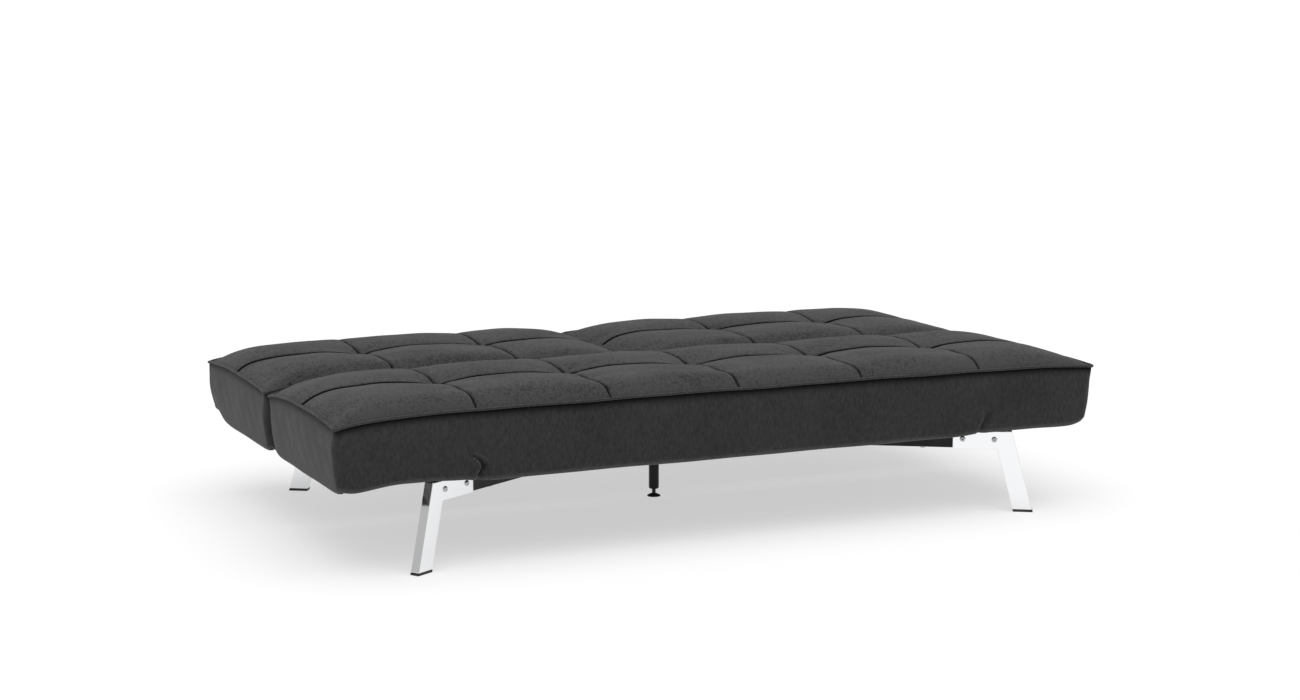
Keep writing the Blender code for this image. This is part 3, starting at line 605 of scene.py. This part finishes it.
def from_sides(x, y, low, high):
    """Distances in from the nearer end of a block, along X, and its nearer side, along Y."""
    return np.minimum(x - low[0], high[0] - x), np.minimum(y - low[1], high[1] - y)


def nearest_corner(x, y, low, high):
    near_x = np.where(x < (low[0] + high[0]) / 2, low[0], high[0])
    near_y = np.where(y < (low[1] + high[1]) / 2, low[1], high[1])
    return near_x, near_y


def edge_height(x, y, low, high, level):
    """The piping's height: level along a side, lower at the ends, and lowest at the corners.

    Each droop and sag falls off exponentially with the distance from its end or corner.
    """
    at_left_end = low[0] < -WIDTH * 0.45
    from_side = from_sides(x, y, low, high)[1]
    height = level + WANDER * soft_noise(x, y, size=0.31)
    for from_end, (end, corner) in (
        (x - low[0], LEFT_DROOP if at_left_end else DROOP),
        (high[0] - x, DROOP),
    ):
        height = height - end * np.exp(-from_end / DROOP_REACH[0])
        height = height - corner * np.exp(-np.hypot(from_end, from_side) / DROOP_REACH[1])
    if at_left_end:
        gap_side = high[1] if low[1] < hub[1] else low[1]
        sag = SEAT_GAP_SAG if low[1] < hub[1] else BACK_GAP_SAG
        height = height - sag * np.exp(-np.hypot(x - low[0], y - gap_side) / GAP_SAG_REACH)
    return height


def to_crossing(x, y, low, high, columns):
    """Distances along X and Y to the nearest place where quilting lines cross."""
    column = (high[0] - low[0]) / columns
    nearest = np.clip(np.round((x - low[0]) / column), 1, columns - 1)
    return x - low[0] - nearest * column, y - (low[1] + high[1]) / 2


def top_height(x, y, low, high, level, columns):
    """The top's height: the piping's, plus a rise that levels off, plus domes, less dips.

    The rise is the product over the sides of 1 less the exponential of minus the distance over a
    length.  A square's dome is the root of the product of two sines that are 0 on its quilting
    lines.  A dip falls off exponentially from a crossing, with small pleats running out of it.
    """
    rise = 1.0
    for distance, length in zip((x - low[0], high[0] - x, y - low[1], high[1] - y), RISE_LENGTHS):
        rise = rise * (1 - np.exp(-np.maximum(distance, 0) / length))
    column = (high[0] - low[0]) / columns
    row = (high[1] - low[1]) / 2
    waves = np.sin(np.pi * (x - low[0]) / column) * np.sin(np.pi * (y - low[1]) / row)
    dome = np.sqrt(np.abs(waves))
    across, along = to_crossing(x, y, low, high, columns)
    distance = np.hypot(across, along)
    dip = CROSSING_DIP * np.exp(-np.hypot(distance, CROSSING_BLUNT) / CROSSING_REACH)
    turned_by = PLEATS * np.arctan2(along, across) + PLEAT_TURN * x
    near_ring = np.exp(-(((distance - PLEAT_PLACE) / PLEAT_LENGTH) ** 2))
    pleats = PLEAT_DEPTH * np.cos(turned_by) * near_ring
    wander = WANDER * soft_noise(x, y, size=0.16, seed=low[0])
    height = SEAM_RISE + DOME * dome - dip + pleats + wander
    return edge_height(x, y, low, high, level) + rise * height


def round_corners(x, y, low, high, radius):
    """Draws a rectangle's points in so that its corners become round.

    Within a radius of a corner, each of the two coordinates is multiplied by the root of 1 less
    half the other's square, both counted in radii from the arc's centre.
    """
    near_x, near_y = nearest_corner(x, y, low, high)
    out_x = np.where(near_x == low[0], -radius, radius)
    out_y = np.where(near_y == low[1], -radius, radius)
    a = (x - near_x + out_x) / out_x
    b = (y - near_y + out_y) / out_y
    inside = (a > 0) & (b > 0)
    round_a = a * np.sqrt(np.clip(1 - b**2 / 2, 0, 1))
    round_b = b * np.sqrt(np.clip(1 - a**2 / 2, 0, 1))
    x = np.where(inside, near_x - out_x + round_a * out_x, x)
    y = np.where(inside, near_y - out_y + round_b * out_y, y)
    return x, y


def ear_shift(x, y, low, high):
    """How far a point moves out along X and Y, most at the corners of the top."""
    near_x, near_y = nearest_corner(x, y, low, high)
    size = EAR * np.exp(-(np.hypot(x - near_x, y - near_y) / EAR_REACH) ** 2)
    return np.where(near_x == low[0], -size, size), np.where(near_y == low[1], -size, size)


def resample(values, old_y, old_x, new_y, new_x):
    """Values on one grid read off on another, in straight lines between neighbours."""
    j = np.clip(np.searchsorted(old_y, new_y) - 1, 0, len(old_y) - 2)
    i = np.clip(np.searchsorted(old_x, new_x) - 1, 0, len(old_x) - 2)
    v = ((new_y - old_y[j]) / (old_y[j + 1] - old_y[j]))[..., None]
    u = ((new_x - old_x[i]) / (old_x[i + 1] - old_x[i]))[..., None]
    return (
        values[j, i] * (1 - u) * (1 - v) + values[j, i + 1] * u * (1 - v)
        + values[j + 1, i] * (1 - u) * v + values[j + 1, i + 1] * u * v
    )


def puffed(name, points, hold):
    """How far each point of a sewn sheet moves when it is blown up from below, as cloth.

    hold is how firmly each point is held, from 0 to 1.  The pressure draws the cloth into soft
    folds between the points that are held.
    """
    rows, columns = hold.shape
    mesh = bpy.data.meshes.new(name)
    mesh.from_pydata(points.reshape(-1, 3), [], grid_faces(rows, columns).tolist())
    sheet = bpy.data.objects.new(name, mesh)
    bpy.context.scene.collection.objects.link(sheet)
    group = sheet.vertex_groups.new(name="held")
    for level in np.unique(hold):
        group.add(np.flatnonzero(hold.ravel() == level).tolist(), float(level), "REPLACE")
    cloth = sheet.modifiers.new("cloth", "CLOTH")
    for setting, value in CLOTH_SETTINGS.items():
        setattr(cloth.settings, setting, value)
    cloth.settings.effector_weights.gravity = 0
    cloth.collision_settings.use_collision = False
    cloth.point_cache.frame_start = 1
    cloth.point_cache.frame_end = CLOTH_FRAMES
    scene = bpy.context.scene
    for step in range(1, CLOTH_FRAMES + 1):
        scene.frame_set(step)
    result = sheet.evaluated_get(bpy.context.evaluated_depsgraph_get()).data
    moved = np.empty(len(result.vertices) * 3, np.float32)
    result.vertices.foreach_get("co", moved)
    scene.frame_set(1)
    bpy.data.objects.remove(sheet)
    shift = moved.reshape(points.shape).astype(float) - points
    length = np.linalg.norm(shift, axis=-1, keepdims=True)
    return shift * CLOTH_CAP * np.tanh(length / CLOTH_CAP) / np.maximum(length, 1e-9)


def quilted_hold(x, y, low, high, columns):
    """How firmly the top is held: fully at its edge and the crossings, partly on the lines."""
    across, along = to_crossing(x, y, low, high, columns)
    on_line = np.minimum(np.abs(across), np.abs(along)) < CLOTH_STEP * 0.6
    hold = np.where(on_line, LINE_HOLD, 0.0)
    hold = np.where(np.hypot(across, along) < CLOTH_STEP * 0.9, 1.0, hold)
    at_edge = (x <= low[0]) | (x >= high[0]) | (y <= low[1]) | (y >= high[1])
    return np.where(at_edge, 1.0, hold)


def top_panel(name, low, high, level, columns):
    """The quilted top's points on a grid, the grid's lines along Y and X, and how much painted
    shade each point gets beside a seam, from 0 to 1.  A seam cuts in as a bell curve across it.
    """
    x_lines = lines_between(low[0], high[0], columns, GRID_STEP)
    y_lines = lines_between(low[1], high[1], 2, GRID_STEP)
    y, x = np.meshgrid(y_lines, x_lines, indexing="ij")
    points = np.stack([x, y, top_height(x, y, low, high, level, columns)], -1)
    coarse_x = even_lines(low[0], high[0], CLOTH_STEP)
    coarse_y = even_lines(low[1], high[1], CLOTH_STEP)
    b, a = np.meshgrid(coarse_y, coarse_x, indexing="ij")
    coarse = np.stack([a, b, top_height(a, b, low, high, level, columns)], -1)
    shift = puffed(f"{name}_cloth", coarse, quilted_hold(a, b, low, high, columns))
    points = points + resample(shift, coarse_y, coarse_x, y, x)
    across, along = to_crossing(x, y, low, high, columns)
    from_edge = np.minimum(*from_sides(x, y, low, high))
    cut = np.maximum(SEAM_DEPTH * np.exp(-((across / SEAM_WIDTH) ** 2)),
                     LONG_SEAM_DEPTH * np.exp(-((along / SEAM_WIDTH) ** 2)))
    points[..., 2] -= cut * np.clip(from_edge / SEAM_FADE, 0, 1)
    # Painted shade: a dark line along each seam, on the far wall of the long one.
    long_painted_shade = np.exp(-(((along - LONG_SEAM_SHADE_SHIFT) / LONG_SEAM_SHADE_WIDTH) ** 2))
    painted_shade = np.maximum(np.exp(-((across / SEAM_SHADE_WIDTH) ** 2)), long_painted_shade)
    round_x, round_y = round_corners(points[..., 0], points[..., 1], low, high, TOP_CORNER)
    shift_x, shift_y = ear_shift(x, y, low, high)
    points[..., 0] = round_x + shift_x
    points[..., 1] = round_y + shift_y
    return points, y_lines, x_lines, painted_shade


def rim_of(values):
    """The values once round a grid's rim, against the clock from its lowest corner."""
    return np.concatenate([values[0, :-1], values[:-1, -1], values[-1, :0:-1], values[:0:-1, 0]])


def outward(x, y):
    """Unit vectors out from a loop that runs against the clock."""
    along = np.stack([np.roll(x, -1) - np.roll(x, 1), np.roll(y, -1) - np.roll(y, 1)], -1)
    along /= np.linalg.norm(along, axis=-1, keepdims=True)
    return along[:, 1], -along[:, 0]


def arm_lift(x, y):
    """From 0 to 1: how near a point is to the middle line of a leg's arm."""
    lift = 0.0
    for out in arms.values():
        along = (x - hub[0]) * out[0] + (y - hub[1]) * out[1]
        aside = np.abs(-(x - hub[0]) * out[1] + (y - hub[1]) * out[0])
        beyond = np.maximum(aside - ARM_HALF, 0) / ARM_FADE
        lift = np.maximum(lift, (along > 0) * np.exp(-(beyond**2)))
    return lift


CREASES = (  # X at the top, middle and foot; middle Z and half the height; swelling side; strength
    (-0.5575, -0.5440, -0.5580, 0.198, 0.019, -1, 1.0),
    (0.5790, 0.5780, 0.5560, 0.199, 0.026, 1, 0.5),
)
DRAWN_UP = 0.0042  # how much higher the front hem is beside a crease
DRAWN_UP_X = 0.580
DRAWN_UP_REACH = 0.036
CREASE_WIDTH = 0.0052
CREASE_DEPTH = 0.0190
CREASE_TAIL = 1.15  # how far from its middle a crease fades out, in half heights
CREASE_SWELL = 0.0050
SWELL_ASIDE = 2.6  # from a crease to the middle of the swelling beside it, in crease widths
SWELL_WIDTH = 1.7
SWELL_BELOW = 0.3  # how far the swelling's middle lies below the crease's, in half heights
SWELL_HEIGHT = 1.4
FRONT_DEPTH = 0.02  # only this much of the band's front side creases


def arm_folds(x, y, z, low):
    """How far the band moves out where it creases over the inner end of each front leg's arm.

    A crease is a narrow dent along a parabola through three points, at its top, middle and foot.
    Across it the dent falls off as a bell curve, and along it as a flatter one.  Outside it the
    cloth swells.
    """
    shift = 0.0
    for above, center, below, middle_z, half_height, side, strength in CREASES:
        share = (z - middle_z) / half_height
        bend = center + (above - below) / 2 * share + ((above + below) / 2 - center) * share**2
        aside = (x - bend) / CREASE_WIDTH
        dent = -CREASE_DEPTH * np.exp(-(aside**2) - (share / CREASE_TAIL) ** 4)
        across = (aside - side * SWELL_ASIDE) / SWELL_WIDTH
        swell = CREASE_SWELL * np.exp(-(across**2) - ((share + SWELL_BELOW) / SWELL_HEIGHT) ** 2)
        shift = shift + strength * (dent + swell)
    return np.where((low[1] < hub[1]) & (np.abs(y - low[1]) < FRONT_DEPTH), shift, 0.0)


def hem_bottom(x, y, low, high, ends):
    """How low the band hangs: less at its corners, beside the creases and over the legs' arms."""
    bottom = HEM_BOTTOM + HEM_WANDER * soft_noise(x, y, size=0.35, seed=2.0)
    from_corner = np.hypot(*from_sides(x, y, low, high))
    bottom = bottom + CORNER_LIFT * np.exp(-((from_corner / CORNER_REACH) ** 2))
    bottom = bottom - ends[0] * np.exp(-(x - low[0]) / HEM_END_REACH)
    bottom = bottom - ends[1] * np.exp(-(high[0] - x) / HEM_END_REACH)
    drawn_up = np.exp(-(((np.abs(x) - DRAWN_UP_X) / DRAWN_UP_REACH) ** 2))
    at_front = (low[1] < hub[1]) & (y < low[1] + 0.03)
    bottom = bottom + DRAWN_UP * drawn_up * at_front
    return bottom + arm_lift(x, y) * np.maximum(arm_top + HEM_CLEAR - bottom, 0)


def band_rows(rim_x, rim_y, rim_z, low, high, ends):
    """The boxed band, from the piping down, round under the frame, and in along its hem.

    Its face bulges as a sine over its height and leans in towards its foot.  A quarter circle
    turns it under, and the hem runs level from there.  The corners' radius grows from the top
    panel's to its own over the first third of the height, their ears fade out over the first
    quarter, and the creases begin over the first sixth.
    """
    face = np.linspace(0, 1, FACE_ROWS)
    turn = np.linspace(0, np.pi / 2, TURN_ROWS + 1)[1:]
    inward = np.linspace(0, 1, HEM_ROWS + 1)[1:]
    at_end = np.clip(1 - from_sides(rim_x, rim_y, low, high)[0] / END_SPAN, 0, 1)
    shift_x, shift_y = ear_shift(rim_x, rim_y, low, high)
    rows = []
    for step in range(len(face) + len(turn) + len(inward)):
        down = face[min(step, len(face) - 1)]
        radius = TOP_CORNER + (LOW_CORNER - TOP_CORNER) * min(1.0, 3 * down)
        x, y = round_corners(rim_x, rim_y, low, high, radius)
        out_x, out_y = outward(x, y)
        taper = BAND_TAPER + (END_TAPER - BAND_TAPER) * at_end
        bulge = BAND_BULGE * (1 + 0.35 * soft_noise(x, y, size=0.45, seed=1.0))
        roll = hem_bottom(x, y, low, high, ends) + HEM_ROLL
        z = rim_z + (roll - rim_z) * down
        ripple = BAND_RIPPLE * np.sin(np.pi * down) * soft_noise(x, y, 1.4 * z, size=0.11, seed=4.0)
        offset = bulge * np.sin(np.pi * down**BULGE_SKEW) - taper * down**2 + ripple
        offset = offset + arm_folds(x, y, z, low) * min(1.0, 6 * down)
        if step >= len(face):
            angle = turn[min(step - len(face), len(turn) - 1)]
            offset = offset - HEM_ROLL * (1 - np.cos(angle))
            z = roll - HEM_ROLL * np.sin(angle)
        if step >= len(face) + len(turn):
            share = inward[step - len(face) - len(turn)]
            offset = offset - HEM_WIDTH * share
            z = z + (HEM_HEIGHT - z) * share
        hold = max(0.0, 1 - 4 * down)
        x = x + out_x * offset + shift_x * hold
        y = y + out_y * offset + shift_y * hold
        rows.append(np.stack([x, y, z], -1))
    return np.array(rows)


fabric = Finish("charcoal_microfibre", roughness=0.92, specular_ior_level=0.10, sheen_weight=0.18,
                sheen_roughness=0.45, sheen_tint=(0.85, 0.85, 0.85))
NAP_ACROSS = 560  # streaks of the nap in a metre, across it
NAP_ALONG = 70  # and along it
MIDDLE_TONE = 0.49  # of the mixed noises
TONE_SPAN = 0.12  # from there to the darkest and the palest cloth
CONTRAST = 0.6  # of the mottle on the band
MORE_CONTRAST = 1.7  # and how much more there is on the top
SLOPE_PAINTED_LIGHT = 0.10  # painted light: the top's slopes to front and rear are painted paler
# painted shade: the band's upright sides are painted darker
BAND_PAINTED_SHADE = 0.040


def part_of(vector, which):
    """The size of one part of a vector."""
    one = fabric.node("ShaderNodeSeparateXYZ", {}, {0: vector}, which)
    return one.math("ABSOLUTE", one)


surface = fabric.node("ShaderNodeTexCoord", {}, {}, "Normal")
on_top = fabric.stretch(part_of(surface, 2), 0.20, 0.50)
painted_slope = fabric.stretch(part_of(surface, 1), 0.30, 0.75) * on_top
upright_nap = fabric.noise(1, 3, fabric.place((NAP_ACROSS, NAP_ACROSS, NAP_ALONG)))
upright_melange = fabric.noise(1, 4, fabric.place((190, 190, 90)))
laid_nap = fabric.noise(1, 3, fabric.place((NAP_ACROSS, NAP_ALONG * 2, NAP_ACROSS)))
nap = upright_nap * (1 - on_top) + laid_nap * on_top
laid_melange = fabric.noise(1, 4, fabric.place((240, 75, 240)))
melange = upright_melange * (1 - on_top) + laid_melange * on_top
fibres = fabric.noise(1300, 3)
clouds = fabric.noise(6, 4)
blotches = fabric.noise(34, 5)
mixed = clouds * 0.20 + blotches * 0.07 + melange * 0.36 + nap * 0.27 + fibres * 0.12
mottle = (mixed - MIDDLE_TONE) * (CONTRAST + on_top * MORE_CONTRAST)
# Painted light on the top's slopes and painted shade on the upright band, added to the cloth's
# tone.
painted_light_shade = painted_slope * SLOPE_PAINTED_LIGHT - (1 - on_top) * BAND_PAINTED_SHADE
shade = fabric.stretch(mottle + painted_light_shade, -TONE_SPAN, TONE_SPAN)
# Painted shade: the "seam" attribute mixes in near-black along the quilting and under the piping.
seam = fabric.node("ShaderNodeAttribute", {"attribute_name": "seam"}, {}, "Fac")
fabric.set("Base Color", fabric.mix(shade, (0.0165, 0.0165, 0.0168), (0.0480, 0.0480, 0.0485)))
fabric.paint_shade(seam)
fabric.bump(nap * 0.35 + melange * 0.35 + fibres * 0.30, 0.0009, 0.5)

panels = {}
for name, (body, columns, drop) in BLOCKS.items():
    low, high = (np.array(corner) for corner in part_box(f"{name}_cover"))
    level = high[2] - PIPING_BELOW_CROWN - drop
    top, y_lines, x_lines, seams = top_panel(name, low, high, level, columns)
    y, x = np.meshgrid(y_lines, x_lines, indexing="ij")
    rim_x, rim_y, rim_z = rim_of(x), rim_of(y), rim_of(top[..., 2])
    band = band_rows(rim_x, rim_y, rim_z, low, high, HEM_ENDS[name])
    around = len(rim_x)
    below = x.size + np.arange((len(band) - 1) * around)
    index = np.concatenate([rim_of(np.arange(x.size).reshape(x.shape)), below])
    underneath = np.array([[*(low[:2] + high[:2]) / 2, HEM_HEIGHT]])
    last = index[-around:]
    center = np.full(around, x.size + (len(band) - 1) * around)
    fan = np.stack([last, center, np.roll(last, -1)], -1)
    sides = index[grid_faces(len(band), around, around=True)[:, ::-1]]
    faces = [*grid_faces(*x.shape).tolist(), *sides.tolist(), *fan.tolist()]
    points = np.vstack([top.reshape(-1, 3), band[1:].reshape(-1, 3), underneath])
    cushion = add_piece(f"{name}_cushion", points, faces, fabric, body, "charcoal_fabric")
    # Painted shade along the seams and on the band's rows under the piping, kept as the "seam"
    # attribute.
    painted_shade = np.zeros(len(points), np.float32)
    painted_shade[: x.size] = seams.ravel()
    # Painted shade under the piping's overhang, strongest on the front and rear sides.
    share = END_SHADE + (1 - END_SHADE) * np.abs(outward(rim_x, rim_y)[1])
    for row, darkest in enumerate(PAINTED_SHADE_UNDER_PIPING):
        painted_shade[index[row * around : (row + 1) * around]] = darkest * share
    cushion.data.attributes.new("seam", "FLOAT", "POINT").data.foreach_set("value", painted_shade)
    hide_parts(f"{name}_cover", f"{name}_foam")
    panels[name] = (top, y_lines, x_lines, low, high, columns, body)

# ------------------------------------------------------------------------------------------
# Piping
# A thin cord in a strip of the cover's own cloth, sewn in between each top panel and its band.
# At the corners it turns sharply and stands out as a small ear.
PIPING_RADIUS = 0.0030
PIPING_OUT = 0.0014  # from the panel's edge out to the cord's middle
PIPING_UP = 0.0004
PIPING_STEP = 0.0035
GATHER_LENGTH = 0.0065  # from one gather of the strip to the next
GATHER_DEPTH = 0.05  # how much of the radius a gather adds and takes

for name, (top, y_lines, x_lines, low, high, columns, body) in panels.items():
    rim = rim_of(top)
    out_x, out_y = outward(rim[:, 0], rim[:, 1])
    up = np.full_like(out_x, PIPING_UP)
    path = rim + np.stack([out_x * PIPING_OUT, out_y * PIPING_OUT, up], -1)
    step = np.linalg.norm(path - np.roll(path, 1, 0), axis=1)
    run = np.concatenate([[0], np.cumsum(step[1:])])
    even = np.linspace(0, run[-1] + step[0], int(run[-1] / PIPING_STEP), endpoint=False)
    closed_run = np.append(run, run[-1] + step[0])
    closed_path = np.vstack([path, path[:1]])
    path = np.stack([np.interp(even, closed_run, closed_path[:, k]) for k in range(3)], -1)
    radius = PIPING_RADIUS * (1 + GATHER_DEPTH * np.sin(2 * np.pi * even / GATHER_LENGTH)
                              + GATHER_DEPTH * soft_noise(even, 0 * even, size=0.07))
    add_piece(f"{name}_piping", *tube_along(path, radius, 12), fabric, body, "charcoal_fabric")

# ------------------------------------------------------------------------------------------
# Stitching
# The quilting's lockstitch runs along every line of the squares, in a thread a little darker
# than the cloth, sunk in the groove that it pulls.
STITCH_PITCH = 0.0052
STITCH_LENGTH = 0.0040
THREAD_RADIUS = 0.00042
THREAD_SIDES = 6
SPINDLE = np.array([0.25, 0.85, 1.0, 0.85, 0.25])  # a stitch's thickness from end to end
STITCH_INSET = 0.004  # from the panel's edge to a row's end

thread = Finish("charcoal_thread", roughness=0.6, specular_ior_level=0.3)
twist = thread.noise(2200, 2)
thread.set("Base Color", thread.mix(twist, (0.012, 0.012, 0.013), (0.040, 0.041, 0.044)))
thread.bump(twist, 0.0002, 0.5)


def stitches(points, y_lines, x_lines, start, end):
    """A row of stitches over the panel between two places on it: spindles along its surface."""
    count = int(np.hypot(*(end - start)) / STITCH_PITCH)
    share = (np.arange(count)[:, None] + 0.5) / count
    along = np.linspace(-0.5, 0.5, len(SPINDLE)) * STITCH_LENGTH / np.hypot(*(end - start))
    share = share + along[None, :]
    x = start[0] + (end[0] - start[0]) * share
    y = start[1] + (end[1] - start[1]) * share
    path = resample(points, y_lines, x_lines, y, x)
    path[..., 2] += THREAD_RADIUS * 0.9
    fat = THREAD_RADIUS * SPINDLE
    direction = np.array([*(end - start), 0.0]) / np.hypot(*(end - start))
    side = np.cross(direction, (0, 0, 1))
    angle = np.linspace(0, 2 * np.pi, THREAD_SIDES, endpoint=False)
    ring = np.cos(angle)[:, None] * side + np.sin(angle)[:, None] * np.array([0, 0, 1.0])
    shape = path[:, :, None, :] + fat[None, :, None, None] * ring[None, None]
    one = grid_faces(len(SPINDLE), THREAD_SIDES, around=True)
    faces = one[None] + len(SPINDLE) * THREAD_SIDES * np.arange(count)[:, None, None]
    return shape.reshape(-1, 3), faces.reshape(-1, 4)


for name, (top, y_lines, x_lines, low, high, columns, body) in panels.items():
    middle_y = (low[1] + high[1]) / 2
    ends = [((low[0] + STITCH_INSET, middle_y), (high[0] - STITCH_INSET, middle_y))]
    for x in np.linspace(low[0], high[0], columns + 1)[1:-1]:
        ends.append(((x, low[1] + STITCH_INSET), (x, high[1] - STITCH_INSET)))
    rows_of_stitches = [stitches(top, y_lines, x_lines, *np.array(pair)) for pair in ends]
    add_piece(f"{name}_stitching", *joined(rows_of_stitches), thread, body, "charcoal_fabric")

# ------------------------------------------------------------------------------------------
# Dust covers
# Thin black spun-bonded cloth drawn tight under each frame, over the band's turned-in hem, and
# stapled along its edges.
DUST_INSET = 0.026  # from a block's side to the cloth's edge
DUST_HEIGHT = 0.1745
DUST_SAG = 0.00154
DUST_STEP = 0.012
SCALLOP = 0.0005  # how far the cloth rises and falls from staple to staple
SCALLOP_REACH = 0.02
STAPLE_PITCH = 0.055
STAPLE = (0.0100, 0.0011, 0.0006)  # length, width and thickness
STAPLE_BOW = 0.0004
STAPLE_INSET = 0.007  # from the cloth's edge
STAPLE_BELOW = 0.0008

dust = Finish("spun_bonded_cloth", roughness=0.85, specular_ior_level=0.2)
bonds = dust.node("ShaderNodeTexVoronoi", {}, {"Vector": dust.place(), "Scale": 520.0}, "Distance")
web = dust.noise(700, 4)
thin = web * 0.6 + dust.noise(16, 3) * 0.4
dust.set("Base Color", dust.mix(thin, (0.010, 0.010, 0.011), (0.030, 0.030, 0.032)))
dust.bump(bonds + web * 0.5, 0.0004, 0.5)


def staple_box(place, along):
    """A staple's crown: a flat bar, slightly bowed down at its middle."""
    side = np.array([-along[1], along[0], 0])
    share = np.linspace(-0.5, 0.5, 5)[:, None]
    path = place + share * STAPLE[0] * along - (1 - (2 * share) ** 4) * np.array([0, 0, STAPLE_BOW])
    corners = np.array([(-1, -1), (1, -1), (1, 1), (-1, 1)]) / 2
    ring = corners[:, :1] * STAPLE[1] * side + corners[:, 1:] * STAPLE[2] * np.array([0, 0, 1.0])
    return (path[:, None] + ring[None]), grid_faces(5, 4, around=True)


for name, (top, y_lines, x_lines, low, high, columns, body) in panels.items():
    edge_low = low[:2] + DUST_INSET
    edge_high = high[:2] - DUST_INSET
    xs = even_lines(edge_low[0], edge_high[0], DUST_STEP)
    ys = even_lines(edge_low[1], edge_high[1], DUST_STEP)
    y, x = np.meshgrid(ys, xs, indexing="ij")
    across = np.sin(np.pi * (x - edge_low[0]) / (edge_high[0] - edge_low[0]))
    along = np.sin(np.pi * (y - edge_low[1]) / (edge_high[1] - edge_low[1]))
    near_edge = np.exp(-np.minimum(*from_sides(x, y, edge_low, edge_high)) / SCALLOP_REACH)
    scallop = SCALLOP * np.cos(2 * np.pi * (x + y) / STAPLE_PITCH) * near_edge
    belly = np.sqrt(np.clip(across * along, 0, 1))
    sag = DUST_SAG * belly * (1 - arm_lift(x, y)) * (0.6 + 0.4 * soft_noise(x, y, size=0.3))
    z = DUST_HEIGHT - np.clip(sag, 0, DUST_SAG) + scallop
    faces = grid_faces(len(ys), len(xs))[:, ::-1]
    points = np.stack([x, y, z], -1)
    cloth = add_piece(f"{name}_dust_cloth", points, faces, dust, body, "dust_fabric")
    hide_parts(f"{name}_dust_cover")
    size = edge_high - edge_low
    staples = []
    for start, end in (((0, 0), (1, 0)), ((1, 0), (1, 1)), ((1, 1), (0, 1)), ((0, 1), (0, 0))):
        start = edge_low + STAPLE_INSET + (size - 2 * STAPLE_INSET) * np.array(start)
        end = edge_low + STAPLE_INSET + (size - 2 * STAPLE_INSET) * np.array(end)
        way = np.array([*(end - start), 0.0]) / np.hypot(*(end - start))
        count = int(np.hypot(*(end - start)) / STAPLE_PITCH)
        for share in (np.arange(count) + 0.5) / count:
            spot = np.array([*(start + (end - start) * share), DUST_HEIGHT - STAPLE_BELOW])
            staples.append(staple_box(spot, way))
    pins = add_piece(f"{name}_staples", *joined(staples), zinc, body, "zinc_steel")
